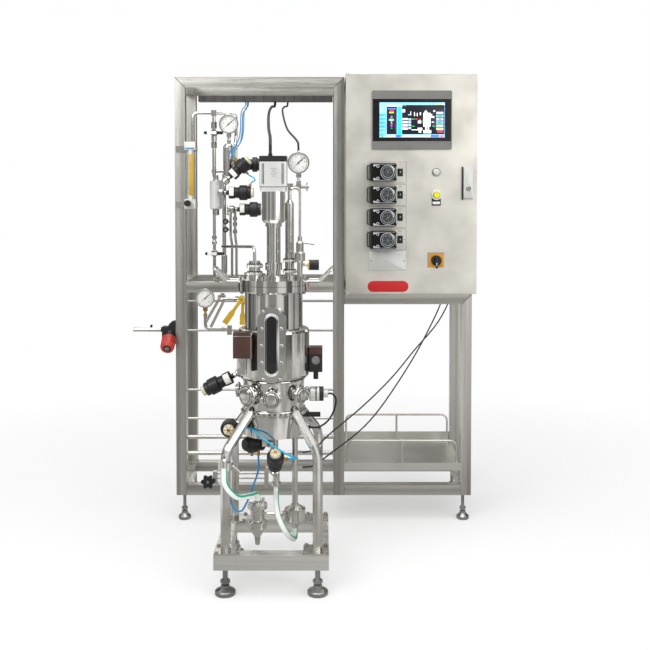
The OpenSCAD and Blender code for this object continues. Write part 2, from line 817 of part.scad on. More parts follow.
// Angle, height, radius and reach of each port
ports = [[-1, 588, 22, 38], [-42, 594, 29, 30], [48, 594, 21, 32], [90, 582, 15, 18],
         [-90, 600, 14, 24]];

module side_ports() {
    color(bright) {
        difference() {
            for (p = ports) radial_port(p[0], p[1], p[2], p[3]);
            translate([vessel_x, vessel_y, 0]) cylinder(r = low_r + clear, h = rim_z);
        }
        for (a = [-66, -24, 0, 24, 66]) translate([vessel_x, vessel_y, low_flange_z - 6]) rotate(a)
            translate([0, -low_r - 4.5, 0]) cylinder(r = 4, h = 6, $fn = 6);
    }
}

// Two main ports on the lid with their clamps
left_port = [-60, -6];
right_port = [50, 26];
valve_port = [84, -20];
port_r = 15;

module lid_ports() {
    color(bright) translate([vessel_x, vessel_y, lid_top]) {
        translate([left_port[0], left_port[1], 0]) {
            cylinder(r = port_r + 3, h = 56);
            for (z = [10, 34]) translate([0, 0, z]) cylinder(r = port_r + 10, h = 12);
            translate([-port_r - 18, -4, 13]) cube([14, 8, 7]);
        }
        translate([right_port[0], right_port[1], 0]) {
            cylinder(r = port_r, h = 76);
            for (z = [14, 48]) translate([0, 0, z]) cylinder(r = port_r + 6, h = 12);
            translate([port_r + 4, -4, 16]) cube([12, 8, 7]);
        }
        translate([valve_port[0], valve_port[1], 0]) cylinder(r = 9, h = 30);
    }
}

// Shaft with two six-bladed impellers
module agitator() {
    color(steel) translate([vessel_x, vessel_y, 0]) {
        translate([0, 0, 560]) cylinder(r = shaft_r, h = lantern_z + 30 - 560);
        for (z = [600, 730]) translate([0, 0, z]) {
            cylinder(r = shaft_r + 6, h = 16);
            translate([0, 0, 7]) cylinder(r = impeller_r - 8, h = 2);
            for (a = [0 : 60 : 300]) rotate(a)
                translate([impeller_r - 16, -1, -2]) cube([16, 2, 20]);
        }
    }
}

// ---------- drive ----------

module drive_motor() {
    half = motor_side / 2;
    color("#e6e6e4") translate([vessel_x, vessel_y, 0]) {
        difference() {
            translate([0, 0, motor_z]) linear_extrude(motor_h) rounded(motor_side, motor_side, 6);
            for (a = [0 : 90 : 270]) rotate(a) for (s = [-1, 1])
                translate([s * (half - 13) - 1.5, -half - 1, motor_z + 6])
                    cube([3, 4, motor_h - 12]);
        }
        translate([0, 0, motor_z - motor_flange_t]) linear_extrude(motor_flange_t)
            rounded(motor_side - 4, motor_side - 4, 10);
    }
}

module motor_cap() {
    color(dark) translate([vessel_x, vessel_y, motor_z + motor_h]) {
        linear_extrude(motor_cap_h) rounded(motor_side, motor_side, 5);
        // cable gland
        translate([-10, 0, motor_cap_h]) cylinder(r = 7, h = gland_h);
    }
}

module drive_lantern() {
    top = motor_z - motor_flange_t;
    color(bright) translate([vessel_x, vessel_y, 0]) difference() {
        union() {
            translate([0, 0, lid_top + 8]) cylinder(r = seal_r, h = lantern_z - lid_top);
            translate([0, 0, seal_clamp_z]) cylinder(r = seal_r + 5, h = seal_clamp_t);
            translate([0, 0, lantern_z - 20]) cylinder(r = seal_r + 4, h = 12);
            translate([0, 0, lantern_z - 8])
                turned([[lantern_r - 6, 0], [lantern_r, 8], [lantern_r, top - lantern_z + 8]]);
        }
        translate([0, 0, lid_top]) cylinder(r = shaft_r + 2, h = lantern_z - lid_top);
        translate([0, 0, lantern_z - 1]) cylinder(r = lantern_r - 8, h = top - lantern_z - 6);
        for (a = [0 : 90 : 270]) rotate(a + 45) translate([0, -8, lantern_z + 20])
            cube([lantern_r + 5, 16, 40]);
    }
}

// ---------- fittings over the lid ----------

pot_x = 188;
pot_r = 10.5;
pot_z = 931;
pot_h = 66;
column_r = 6.8;
tube_z = 1284;
tube_top = 1403;
vent_z = lid_top + 80;
vent_seat = -pipe_out - 12;
condenser_h = 170;
cross_z = lid_top + 290;
condenser_z = lid_top + 76;

module exhaust_line() {
    left = [vessel_x + left_port[0], vessel_y + left_port[1], lid_top + 56];
    right = [vessel_x + right_port[0], vessel_y + right_port[1], condenser_z];
    valve = [vessel_x + valve_port[0], vessel_y + valve_port[1], lid_top + 30];
    color(bright) {
        // vent tube from the lid to the branch on the stand's column
        pipe_run([left, [left[0], left[1], vent_z + 21], [pot_x, vent_seat - 50, vent_z],
                  [pot_x, vent_seat, vent_z]], 5, 22);
        // condenser, neck and cross
        translate(right) turned([[14, 0], [14, condenser_h - 8], [9, condenser_h],
            [6, condenser_h + 4], [6, cross_z - condenser_z - 10]]);
        translate([right[0] - 6, right[1] - 9, cross_z - 10]) cube([17, 18, 22]);
        translate([gauge_3_x - 8, right[1] - 8, cross_z - 8]) cube([16, 16, 20]);
        rod([right[0] + 10, right[1], cross_z + 1], [right[0] + 62, right[1], cross_z + 1], 6);
        rod([right[0] + 56, right[1], cross_z - 13], [right[0] + 56, right[1], cross_z + 15], 2.5);
        // bent tube down to the safety valve
        pipe_run([[right[0], right[1] - 8, cross_z - 4], [right[0], valve[1], cross_z - 4],
                  [valve[0], valve[1], cross_z - 4], [valve[0], valve[1], valve[2] + 104]], 4, 12);
        // safety valve: inlet, body, bonnet
        translate(valve) turned([[9, 0], [9, 22], [17, 28], [17, 52], [12, 56], [12, 84], [7, 90],
                                 [7, 104]]);
        rod(valve + [8, 0, 84], valve + [46, 0, 80], 3);
        rod(valve + [6, 0, 14], valve + [24, 0, 14], 5);
    }
    color("#dcc12f") rod(valve + [24, 0, 14], valve + [28, 0, 14], 14);
    color(dark) rod(valve + [28, 0, 14], valve + [60, 0, 14], 16);
}

// A dial gauge: case, bezel, recessed dial, pointer; its stem ends at z_stem
module gauge(x, y, z, stem_l) {
    translate([x, y, z]) rotate([90, 0, 0]) {
        color(bright) difference() {
            turned([[gauge_r - 6, 0], [gauge_r - 2, 3], [gauge_r - 2, gauge_t - 8],
                    [gauge_r, gauge_t - 7], [gauge_r, gauge_t - 1], [gauge_r - 1, gauge_t]]);
            translate([0, 0, gauge_t - 5]) cylinder(r = gauge_r - 4, h = 6);
        }
        color(dark) translate([0, 0, gauge_t - 5]) {
            cylinder(r = 3, h = 3);
            rotate(-48) translate([-1, -8, 1]) cube([2, gauge_r - 1, 1]);
        }
    }
    color(brass) {
        translate([x, y - gauge_t / 2, z - gauge_r - 10]) cylinder(r = 8, h = 12, $fn = 6);
        rod([x, y - gauge_t / 2, z - gauge_r - stem_l], [x, y - gauge_t / 2, z - gauge_r - 9], 5);
    }
}

stem_1 = 34;
stem_2 = 26;
stem_3 = 31;
gauge_1 = [206, tube_top + stem_1 + gauge_r];
gauge_2 = [118, 840];
gauge_3_z = cross_z + 12 + stem_3 + gauge_r;

gauge_3_x = vessel_x + right_port[0] + 29;
sensor_end = [gauge_3_x, vessel_y + right_port[1], gauge_3_z + gauge_r + 6];

module gauges() {
    back = -pipe_out + gauge_t / 2;
    gauge(gauge_1[0], back, gauge_1[1], stem_1);
    gauge(gauge_2[0], back, gauge_2[1], stem_2);
    gauge(sensor_end[0], sensor_end[1] + gauge_t / 2, gauge_3_z, stem_3);
    // cable gland on the third gauge
    color(dark) translate([sensor_end[0], sensor_end[1], gauge_3_z + gauge_r - 4])
        cylinder(r = 5, h = sensor_end[2] - gauge_3_z - gauge_r + 4);
}

// ---------- pipework ----------

// A pneumatic actuator along +Z: neck, label band, cylinder, stepped rim, cap
module actuator(r, l) {
    turned([[r * 0.3, 0], [r * 0.3, l * 0.1], [r * 0.8, l * 0.1], [r * 0.8, l * 0.3],
            [r * 0.72, l * 0.32], [r * 0.72, l * 0.46], [r, l * 0.5], [r, l * 0.76],
            [r * 0.82, l * 0.8], [r * 0.82, l * 0.9], [r * 0.62, l * 0.92], [r * 0.62, l]]);
}

// Base point and cap point of each actuator
actuators = [
    [[214, -valve_out, 1280], [282, -valve_out, 1342]],
    [[262, -pipe_out, 1326], [322, -pipe_out, 1326]],
    [[201, -valve_out, 1224], [298, -valve_out, 1224]],
    [[240, -valve_out, 1164], [333, -valve_out, 1164]],
    [[258, -438, 630], [156, -438, 578]],
    [[254, -516, 488], [254, -588, 488]],
    [[360, -512, 427], [300, -556, 434]],
    [[396, -536, 354], [400, -592, 419]]
];

// Tube fittings on the actuators: which one, share of its length, direction, length from its axis
air_fitting = [0, 0.6, [-62, 0, 68], 36];
loop_start = [0, 0.6, [62, 0, -68], 34];
loop_end = [2, 0.72, [0.5, 0, 0.87], 34];
signal_start = [5, 0.62, [1, 0, 0], 48];
signal_end = [7, 0.6, [1, 0, 0], 38];
vent_start = [6, 0.3, [0, 0, -1], 38];
vent_end = [5, 0.62, [0, 0, -1], 36];
fittings = [air_fitting, loop_start, loop_end, signal_start, signal_end, vent_start, vent_end,
            [6, 0.62, [0, 0, -1], 36]];

function fitting_root(f) =
    let (v = actuators[f[0]]) v[0] + (v[1] - v[0]) * f[1];
function fitting_end(f) = fitting_root(f) + unit(f[2]) * f[3];

module valve_actuators() {
    color(dark) for (v = actuators) along(v[0], v[1]) actuator(actuator_r, norm(v[1] - v[0]));
    color(brass) for (f = fittings) {
        r = f == air_fitting ? 7 : 4.5;
        rod(fitting_root(f) + unit(f[2]) * 12, fitting_end(f), r);
    }
}

// Centre of the valve body behind an actuator's base
valve_reach = 18;
valve_r = 14;
function valve_centre(v) = v[0] - unit(v[1] - v[0]) * valve_reach;

// Valve body, turned about its actuator's axis, with the neck that the actuator stands on
module valve_body(v) {
    along(valve_centre(v), v[0])
        turned([[valve_r - 5, -12], [valve_r, -8], [valve_r, 6], [7.5, 10], [7.5, valve_reach]]);
}

// A pipe through the points pts that ends on the middle rail, on a small saddle
module standing_pipe(pts, r) {
    foot = pts[len(pts) - 1];
    seat = left_mid_top + 12;
    pipe_run(concat(pts, [[foot[0], foot[1], seat], [foot[0], tube / 2, seat]]), r, 14);
    block(foot[0] - r - 3, foot[0] + r + 3, tube / 2 - 8, tube / 2 + 8, left_mid_top, seat + r + 3);
}

module hand_wheel(p, r) {
    translate(p) rotate([90, 0, 0]) {
        cylinder(r = 3, h = 16);
        translate([0, 0, 16]) rotate_extrude() translate([r - 3, 0]) circle(r = 3);
        translate([0, 0, 14]) cylinder(r = r - 3, h = 3);
    }
}

module process_pipes() {
    color(bright) {
        upper_pipework();
        column_pipework();
        supply_lines();
        lower_pipework();
        gauge_pipework();
        water_taps();
        for (v = actuators) valve_body(v);
    }
}

// From the rotameter over the first gauge, down behind its case and through the air filter
filter_x = 152;
filter_body_x = 158;
filter_z = 1142;
arch_r = 5.5;
arch_z = gauge_1[1] + gauge_r + arch_r;
arch_back = -pipe_out + 22;
side_x = 229.5;

// A hexagon nut on an upright pipe, its foot at p
module pipe_nut(p, r, h) {
    translate(p) cylinder(r = r, h = h, $fn = 6);
}

module upper_pipework() {
    y = -pipe_out;
    meter_top = [meter_x + 9.7, y, meter_z1];
    case_x = gauge_1[0] - gauge_r;
    gap_z = gauge_1[1] - gauge_r - 8;
    pipe_run([meter_top, [meter_top[0], y, arch_z], [case_x - 18, y, arch_z],
              [case_x + 14, arch_back, arch_z], [side_x, arch_back, arch_z],
              [side_x, arch_back, gap_z], [side_x, y, gap_z - 26],
              [side_x, y, gap_z - 40]], arch_r, 16);
    translate([filter_x - 10, y - 9, arch_z - 10]) cube([18, 18, 20]);
    // filter line: nuts, valve, fittings, tee to the column, filter, nuts and lower valve
    rod([filter_x, y, arch_z], upper_valve, 6);
    pipe_nut([filter_x, y, 1456], 10, 24);
    ball_valve(upper_valve);
    pipe_nut([filter_x, y, 1386], 10, 22);
    translate([filter_x, y, 1411]) cylinder(r = 9.4, h = 18);
    rod(upper_valve, [filter_x, y, filter_z + 140], 6.4);
    rod([filter_x, y, tee_z], [pot_x + 4, y, tee_z], 6);
    translate([filter_x, y, tee_z - 7]) cylinder(r = 8.6, h = 14);
    translate([filter_body_x, y, filter_z])
        turned([[10, 0], [12, 2], [12, 20], [21.5, 25], [21.5, 124], [9.5, 130], [9.5, 145]]);
    rod([filter_x, y, filter_z + 4], lower_valve, 5.3);
    translate([filter_x, y, 1034]) turned([[5.6, 0], [9, 4], [9, 12], [5.6, 16]]);
    pipe_nut([filter_x, y, 1056], 8.5, 11);
    ball_valve(lower_valve);
    standing_pipe([lower_valve - [0, 0, 4]], 5.5);
    // flat brackets that carry the rotameter on the post
    for (z = [meter_z0 + 14, meter_z1 - 23]) {
        block(4, meter_x + 18, -8, -clear, z - 11, z + 11);
        rod([meter_x, -8, z], [meter_x, y + 14, z], 5);
    }
}

// A ball valve's body with the stem that its lever turns
ball_r = 13;
stem_r = 4;
module ball_valve(p) {
    along(p + [0, ball_r, 0], p)
        turned([[ball_r - 3.5, 0], [ball_r, 6], [ball_r, 20], [ball_r - 3.5, 26], [stem_r, 26],
                [stem_r, 2 * ball_r + 6]]);
}

// Column under the first gauge, its valves and the two pipes with hand wheels
wheel_pipes = [216, 232];
wheel_z = [1121.5, 1092.4];
wheel_x = 200;
tee_z = 1302;

module column_pipework() {
    y = -pipe_out;
    low = 1070;
    // pot, column and the wide tube with its domed top
    translate([pot_x, y, pot_z])
        turned([[pot_r - 2, 0], [pot_r, 3], [pot_r, pot_h - 3], [pot_r - 2, pot_h]]);
    standing_pipe([[pot_x, y, pot_z + 4]], 8);
    rod([pot_x, y, pot_z + pot_h - 1], [pot_x, y, tube_z + 8], column_r);
    translate([203.5, y, tube_z])
        turned([[13, 0], [18.5, 5], [18.5, 104], [17, 110], [13, 115], [7, 119]]);
    // side tube with a foot that ties it to the wide tube
    translate([side_x, y, 1310]) turned([[6, 0], [6.8, 2], [6.8, 89], [5.5, 91]]);
    for (z = [1318, 1392]) rod([203.5, y, z], [side_x, y, z], 5);
    // links to the valve bodies
    for (i = [0, 2]) {
        z = valve_centre(actuators[i])[2];
        rod([pot_x, y, z], [pot_x, -valve_out, z], 6);
    }
    rod([side_x, y, actuators[1][0][2]], valve_centre(actuators[1]), 6);
    // branch that takes the vent tube
    rod([pot_x, y, vent_z], [pot_x, vent_seat, vent_z], 7.5);
    for (x = wheel_pipes)
        standing_pipe([[x, -valve_out, actuators[3][0][2] - 4], [x, -valve_out, low],
                       [x, y, low - 34]], 4.5);
    for (z = wheel_z) {
        hand_wheel([wheel_x, -valve_out - 2, z], 10);
        rod([wheel_pipes[0], -valve_out, z], [wheel_x - 4.6, -valve_out, z], 4.2);
    }
    for (z = [1078, 1105, 1125]) pipe_nut([wheel_pipes[1], -valve_out, z], 7.6, 13);
    translate([210.5, -valve_out, 1143])
        turned([[5, 0], [7.5, 2], [7.5, 8], [6.2, 10], [7.5, 12], [7.5, 18], [6.2, 20], [7.5, 22],
                [7.5, 28], [6.2, 30], [7.5, 32], [5, 36]]);
}

// Two lines with yellow-handled ball valves, on saddles on the uppermost cross bar
bar_top = rack_bars[0] + rack_bar_d / 2 + clear;
yellow_1 = [255, -valve_out, bar_top + 17];
yellow_2 = [257, -70, bar_top + 5];
supply_x = [172, 226];

module supply_lines() {
    lines = [yellow_1, yellow_2];
    for (i = [0, 1]) {
        v = lines[i];
        x = supply_x[i];
        ball_valve(v);
        pipe_run([v, [x, v[1], v[2]], [x, tube - 10, v[2]]], 5, 14);
        block(x - 7, x + 7, tube / 2 - 7, tube / 2 + 7, bar_top, v[2] + 7);
        rod(v, v + [24, 0, 0], 8);
    }
}

module lower_pipework() {
    outlet = [vessel_x, vessel_y, dish_z - 40];
    body = outlet + [0, -8, -118];
    nozzle = body + [8, -12, -52];
    drain = [right_trap[0], right_trap[1], trap_top];
    // bottom outlet with its valve body and hose nozzle
    rod(outlet, outlet + [0, 0, -100], 14);
    translate(body) sphere(r = 27);
    rod(nozzle + [0, 0, 50], nozzle, 11);
    translate(nozzle + [0, 0, -8]) cylinder(r = 16, h = 10);
    // upright pipe on the right trap, with two sensor fittings
    rod(drain, [drain[0], drain[1], dish_z - 32], 9);
    for (z = bay_cable_z) rod([drain[0], drain[1], z], [drain[0] + 24, drain[1], z], 5);
    // branches from the side valve and the harvest valve to the vessel
    difference() {
        union() {
            rod(valve_centre(actuators[5]), [vessel_x - 80, -500, 488], 8);
            rod(valve_centre(actuators[4]), [vessel_x - 60, -462, 592], 8);
        }
        translate([vessel_x, vessel_y, 0]) cylinder(r = low_r + clear, h = rim_z);
    }
}

// Second gauge's line, carried by two sloping tubes from the first supply line
module gauge_pipework() {
    y = -pipe_out;
    foot = [gauge_2[0], y, gauge_2[1] - gauge_r - stem_2];
    low_z = 728;
    pipe_run([foot, [foot[0], y, low_z], [206, y, low_z]], 6, 14);
    block(198, 214, y - 9, y + 9, low_z - 22, low_z + 12);
    for (d = [0, 18])
        rod([foot[0] + 2 + d, y, low_z + 24 - d], [supply_x[0] + d * 0.8, y, yellow_1[2] - d * 0.6], 5);
    block(supply_x[0] - 8, supply_x[0] + 20, y - 8, y + 8, yellow_1[2] - 14, yellow_1[2] + 8);
}

// Two water lines with a star wheel valve along the bottom rail
module water_taps() {
    for (z = [star[2] + 9, star[2] + 26]) rod([150, star[1], z], [340, star[1], z], 4);
    block(140, 156, -36, -12, star[2] - 8, star[2] + 34);
    block(330, 344, -32, 8, rail_low_z + tube, star[2] + 32);
    block(144, 156, -14, 8, rail_low_z + tube, star[2] + 12);
    rod(star, [141, star[1], star[2]], 6);
    rod(star + [0, 6, 0], star + [0, -24, 0], star_stem_r);
}

// Flow meter: top and bottom blocks, glass tube and scale plate between them
meter_x = 66;
meter_z0 = 1166;
meter_z1 = 1408;

module rotameter() {
    y = -pipe_out;
    low = meter_z0 + 34;
    high = meter_z1 - 28;
    color("white") for (z = [[meter_z0, low], [high, meter_z1]])
        block(meter_x - 20, meter_x + 18, y - 14, y + 14, z[0], z[1]);
    color("#d9c243") block(meter_x - 10, meter_x + 12, y + 4, y + 8, low - eps, high + eps);
    color("#dfe9ec") rod([meter_x + 1, y - 4, low - 1], [meter_x + 1, y - 4, high + 1], 7);
    color(dark) rod([meter_x - 8, y - 13, low - 14], [meter_x - 8, y - 34, low - 14], 9);
}

// A flat ball valve lever: hub on the valve's stem, strap, folded grip end
module strap_lever(p, angle, l, w) {
    translate(p) rotate([90, 0, 0]) rotate(angle) {
        difference() {
            cylinder(r = w * 0.75, h = 4);
            translate([0, 0, -1]) cylinder(r = stem_r + clear, h = 6);
        }
        linear_extrude(4) difference() {
            polygon([[w * 0.5, -w * 0.35], [l * 0.45, -w * 0.35], [l * 0.6, -w * 0.6],
                     [l, -w * 0.6], [l, w * 0.6], [l * 0.6, w * 0.6], [l * 0.45, w * 0.35],
                     [w * 0.5, w * 0.35]]);
            circle(r = w * 0.5);
        }
        linear_extrude(9) translate([l - 3, -w * 0.6]) square([3, w * 1.2]);
    }
}

// Two-armed lever of a panel ball valve
module cross_lever(p, l) {
    translate(p) rotate([90, 0, 0]) {
        difference() {
            union() {
                cylinder(r = 9, h = 10);
                linear_extrude(7) rounded(l, 11, 5);
            }
            translate([0, 0, -1]) cylinder(r = stem_r + clear, h = 7);
        }
    }
}

upper_valve = [filter_x, -pipe_out, 1440];
lower_valve = [filter_x, -pipe_out, 1003];
hub_back = [0, -ball_r - clear, 0];

module ball_lever_upper() {
    color(dark) cross_lever(upper_valve + hub_back, 70);
}

module ball_lever_lower() {
    color(dark) cross_lever(lower_valve + hub_back, 64);
}

module yellow_lever_left() {
    color("#e6c51e") strap_lever(yellow_1 + hub_back, 235, 104, 17);
}

module yellow_lever_right() {
    color("#e6c51e") strap_lever(yellow_2 + hub_back, 268, 84, 15);
}

// Six-lobed wheel on the water line's valve
star = [123, -26, 158];
star_stem_r = 5;

module star_handwheel() {
    color(dark) translate(star + [0, -12, 0]) rotate([90, 0, 0]) difference() {
        union() {
            cylinder(r = 10, h = 14);
            translate([0, 0, 2]) cylinder(r = 20, h = 9);
            for (a = [0 : 60 : 300]) rotate(a) translate([20, 0, 2]) cylinder(r = 6.5, h = 9);
        }
        translate([0, 0, -1]) cylinder(r = star_stem_r + clear, h = 14);
    }
}

// ---------- gas inlet ----------

reg_y = tube / 2;
reg_z = 713;
knob_dir = unit([-0.03, -1, -0.75]);
knob_seat = [-22, -15, 686];
plain_end = -104;

// Supply pipe with a barb, regulator body and its round gauge boss, on the post's left face
module inlet_regulator() {
    color(bright) {
        rod([inlet_x, reg_y, reg_z], [plain_end + 4, reg_y, reg_z], 8);
        rod([plain_end, reg_y, reg_z], [-45, reg_y, reg_z], 8.6);
        rod([plain_end + 6, reg_y, reg_z], [plain_end + 12, reg_y, reg_z + 18], 4);
    }
    color(dark) {
        block(-52, -clear, reg_y - 17, reg_y + 21, reg_z - 52, reg_z + 12);
        difference() {
            rod([-5, reg_y - 12, reg_z + 8], [-5, reg_y + 18, reg_z + 8], 25);
            block(-clear, 30, -10, tube + 10, reg_z - 20, reg_z + 40);
        }
        rod(knob_seat - 26 * knob_dir, knob_seat, 16);
    }
}

module regulator_knob() {
    knob_l = 54;
    knob_r = 26;
    a = knob_seat + clear * knob_dir;
    color("#c8301c") along(a, a + knob_l * knob_dir) difference() {
        turned([[knob_r - 5, 0], [knob_r, 4], [knob_r, knob_l - 8], [knob_r - 3, knob_l]]);
        for (k = [0 : 30 : 330]) rotate(k) translate([knob_r + 1, 0, knob_l - 22])
            cylinder(r = 3, h = 23);
        translate([0, 0, knob_l - 3]) cylinder(r = knob_r - 10, h = 4);
    }
}

// ---------- under the vessel ----------

left_trap = [341, -556];
right_trap = [458, -520];
trap_z = 160;
trap_top = trap_z + 76;
bay_cable_z = [400, 352];

module drain_traps() {
    color(bright) {
        translate([left_trap[0], left_trap[1], 118]) turned([[7, 0], [10, 26], [30, 56], [30, 76],
            [22, 80], [22, 112], [31, 116], [31, 130], [12, 134], [12, 138]]);
        translate([right_trap[0], right_trap[1], trap_z]) turned([[10, 0], [14, 12], [30, 20],
            [33, 26], [33, 62], [22, 68], [12, 72], [12, 76]]);
        pipe_run([[left_trap[0] + 20, left_trap[1], 214], [right_trap[0] - 40, left_trap[1], 214],
                  [right_trap[0] - 24, right_trap[1], 214]], 7, 8);
        translate([left_trap[0] + 18, left_trap[1], 246]) cylinder(r = 5, h = 20);
        // clamp on the left leg that carries the upper hose
        difference() {
            translate([hose_leg[0], hose_leg[1], 380]) cylinder(r = 23, h = 24);
            translate([hose_leg[0], hose_leg[1], 370]) cylinder(r = leg_d / 2 + clear, h = 60);
        }
        rod([hose_leg[0], hose_leg[1] - 36, 396], [hose_leg[0], hose_leg[1] - 36, 418], 10);
        rod([hose_leg[0], hose_leg[1] - 18, 397], [hose_leg[0], hose_leg[1] - 36, 408], 6);
        rod([hose_leg[0] + 19, hose_leg[1], 392], [hose_leg[0] + 44, hose_leg[1] - 8, 372], 6);
    }
}
hose_leg = [vessel_x - leg_off, vessel_y - (skid_d / 2 - 39)];

// Heads of the probes and switches round the vessel
module sensor_heads() {
    sx = vessel_x + jacket_r + clear;
    color("#3a2b26") {
        block(272, 328, vessel_y - 132, vessel_y - 95, 718, 797);
        block(284, 312, vessel_y - 128, vessel_y - 100, 669, 718);
    }
    color(dark) {
        block(sx, sx + 42, vessel_y - 20, vessel_y + 22, 655, 733);
        rod([sx + 21, vessel_y, 655], [sx + 21, vessel_y, 630], 8);
        rod([vessel_x + low_r, vessel_y + 10, 513], [vessel_x + low_r + 52, vessel_y + 10, 513], 8);
        rod([vessel_x + low_r, vessel_y + 14, 470], [vessel_x + low_r + 20, vessel_y + 14, 470], 6);
    }
    color("white") {
        rod([sx + 21, vessel_y - 20, 693], [sx + 21, vessel_y - 23, 693], 13);
        rod([vessel_x + low_r + 18, vessel_y, 582], [vessel_x + low_r + 62, vessel_y, 582], 23);
        rod([vessel_x + low_r + 62, vessel_y, 582], [vessel_x + low_r + 76, vessel_y, 582], 12);
    }
}

// ---------- cords ----------

duct_exit_y = frame_d - tube / 2;
duct_exit_z = frame_top - tube - duct_h;
function fitting_lead(f, l) = fitting_end(f) + unit(f[2]) * l;
motor_gland = [vessel_x - 10, vessel_y, motor_z + motor_h + motor_cap_h + gland_h];
hose_socket = [hose_leg[0], hose_leg[1] - 36, 396];
outlet_nozzle = [vessel_x + 8, vessel_y - 20, 292];
head_gland = [vessel_x + low_r + 76, vessel_y, 582];
probe_gland = [vessel_x + low_r + 20, vessel_y + 14, 470];
bay_fitting = [right_trap[0] + 24, right_trap[1], 0];

motor_cable_route = [
    [355, duct_exit_y, duct_exit_z], [355, duct_exit_y, 1576], [348, 180, 1556], [348, 0, 1518],
    [364, -300, 1440], [378, -460, 1398], motor_gland + [0, 0, 24], motor_gland
];
sensor_cable_route = [
    [406, duct_exit_y, duct_exit_z], [406, duct_exit_y, 1577], [397, 180, 1556], [398, 0, 1524],
    [426, -260, 1440], [460, -430, 1396], sensor_end + [0, 0, 18], sensor_end
];
air_tubes_route = [
    [242, duct_exit_y, duct_exit_z], [242, duct_exit_y, 1576], [246, 60, 1520], [250, -20, 1450],
    [246, -72, 1408], [229, -104, 1378], [216, -112, 1362], fitting_lead(air_fitting, 8),
    fitting_end(air_fitting)
];
air_loop_route = [
    fitting_end(loop_start), fitting_lead(loop_start, 8), [301, -117, 1276], [304, -117, 1268],
    fitting_lead(loop_end, 9), fitting_end(loop_end)
];
signal_tube_route = [
    fitting_end(signal_start), fitting_lead(signal_start, 14), [352, -608, 476], [402, -632, 446],
    [450, -618, 414], [468, -588, 400], fitting_lead(signal_end, 12), fitting_end(signal_end)
];
vent_tube_route = [
    fitting_end(vent_start), [342, -525, 345], [324, -528, 290], [304, -520, 238],
    [282, -508, 204], [260, -504, 216], [248, -512, 290], fitting_lead(vent_end, 45),
    fitting_end(vent_end)
];
steam_hose_upper_route = [
    hose_socket, hose_socket - [0, 0, 18], [252, -674, 344], [284, -664, 304],
    [316, -622, 292], [left_trap[0], left_trap[1], 274], [left_trap[0], left_trap[1], 256]
];
steam_hose_lower_route = [
    outlet_nozzle, outlet_nozzle - [0, 0, 18], [400, -554, 252], [410, -590, 214],
    [436, -590, 164], [456, -552, 134], [right_trap[0], right_trap[1], trap_z - 18],
    [right_trap[0], right_trap[1], trap_z]
];
probe_cable_route = [
    head_gland, head_gland + [12, 0, 0], [588, -488, 566], [584, -482, 530],
    [562, -479, 490], probe_gland + [24, 0, 0], probe_gland
];
bay_cable_left_route = [
    [bay_gland_x[0], bay_gland_y, cab_z - gland_h], [bay_gland_x[0], bay_gland_y, 820],
    [990, 115, 730], [894, 60, 630], [800, -70, 552], [690, -210, 480], [571, -380, 424],
    bay_fitting + [20, 0, bay_cable_z[0]], bay_fitting + [0, 0, bay_cable_z[0]]
];
bay_cable_right_route = [
    [bay_gland_x[1], bay_gland_y, cab_z - gland_h], [bay_gland_x[1], bay_gland_y, 818],
    [933, 60, 680], [830, -50, 540], [710, -190, 418], [577, -370, 358],
    bay_fitting + [20, 0, bay_cable_z[1]], bay_fitting + [0, 0, bay_cable_z[1]]
];

module motor_cable() { color(dark) swept(motor_cable_route, 5, 8); }
module sensor_cable() { color(dark) swept(sensor_cable_route, 3.5, 8); }
module air_tubes() { color("#1874c8") swept(air_tubes_route, 6, 8); }
module air_loop() { color("#1fa8d8") swept(air_loop_route, 2.5, 8); }
module signal_tube() { color("#22c8ee") swept(signal_tube_route, 3, 8); }
module vent_tube() { color("#1874c8") swept(vent_tube_route, 3, 8); }
module steam_hose_upper() { color("#f2f4f2") swept(steam_hose_upper_route, 8.5, 10); }
module steam_hose_lower() { color("#f2f4f2") swept(steam_hose_lower_route, 8.5, 10); }
module probe_cable() { color(dark) swept(probe_cable_route, 3, 8); }
module bay_cable_left() { color(dark) swept(bay_cable_left_route, 2.5, 8); }
module bay_cable_right() { color(dark) swept(bay_cable_right_route, 2.5, 8); }

in_row() frame_posts();
in_row() frame_rails();
in_row() levelling_feet();
in_row() shelf_tray();
in_row() cable_duct();
in_row() cabinet_shell();
in_row() control_gear();
in_row() cabinet_door();
in_row() hmi_bezel();
in_row() hmi_screen();
in_row() pump_housings();
in_row() pump_covers();
in_row() pump_rotor(0);  // pump_rotor_1
in_row() pump_rotor(1);  // pump_rotor_2
in_row() pump_rotor(2);  // pump_rotor_3
in_row() pump_rotor(3);  // pump_rotor_4
in_row() rocker_switches();
in_row() door_plates();
in_row() push_button();
in_row() main_switch_knob();
in_row() door_handle();
in_row() skid_base();
in_row() vessel_legs();
in_row() vessel_body();
in_row() heating_jacket();
in_row() vessel_lid();
in_row() lid_bolts();
in_row() sight_glass_frame();
in_row() sight_glass();
in_row() side_ports();
in_row() lid_ports();
in_row() agitator();
in_row() drive_motor();
in_row() motor_cap();
in_row() drive_lantern();
in_row() exhaust_line();
in_row() gauges();
in_row() valve_actuators();
in_row() process_pipes();
in_row() rotameter();
in_row() ball_lever_upper();
in_row() ball_lever_lower();
in_row() yellow_lever_left();
in_row() yellow_lever_right();
in_row() star_handwheel();
in_row() inlet_regulator();
in_row() regulator_knob();
in_row() drain_traps();
in_row() sensor_heads();
in_row() motor_cable();
in_row() sensor_cable();
in_row() air_tubes();
in_row() air_loop();
in_row() signal_tube();
in_row() vent_tube();
in_row() steam_hose_upper();
in_row() steam_hose_lower();
in_row() probe_cable();
in_row() bay_cable_left();
in_row() bay_cable_right();
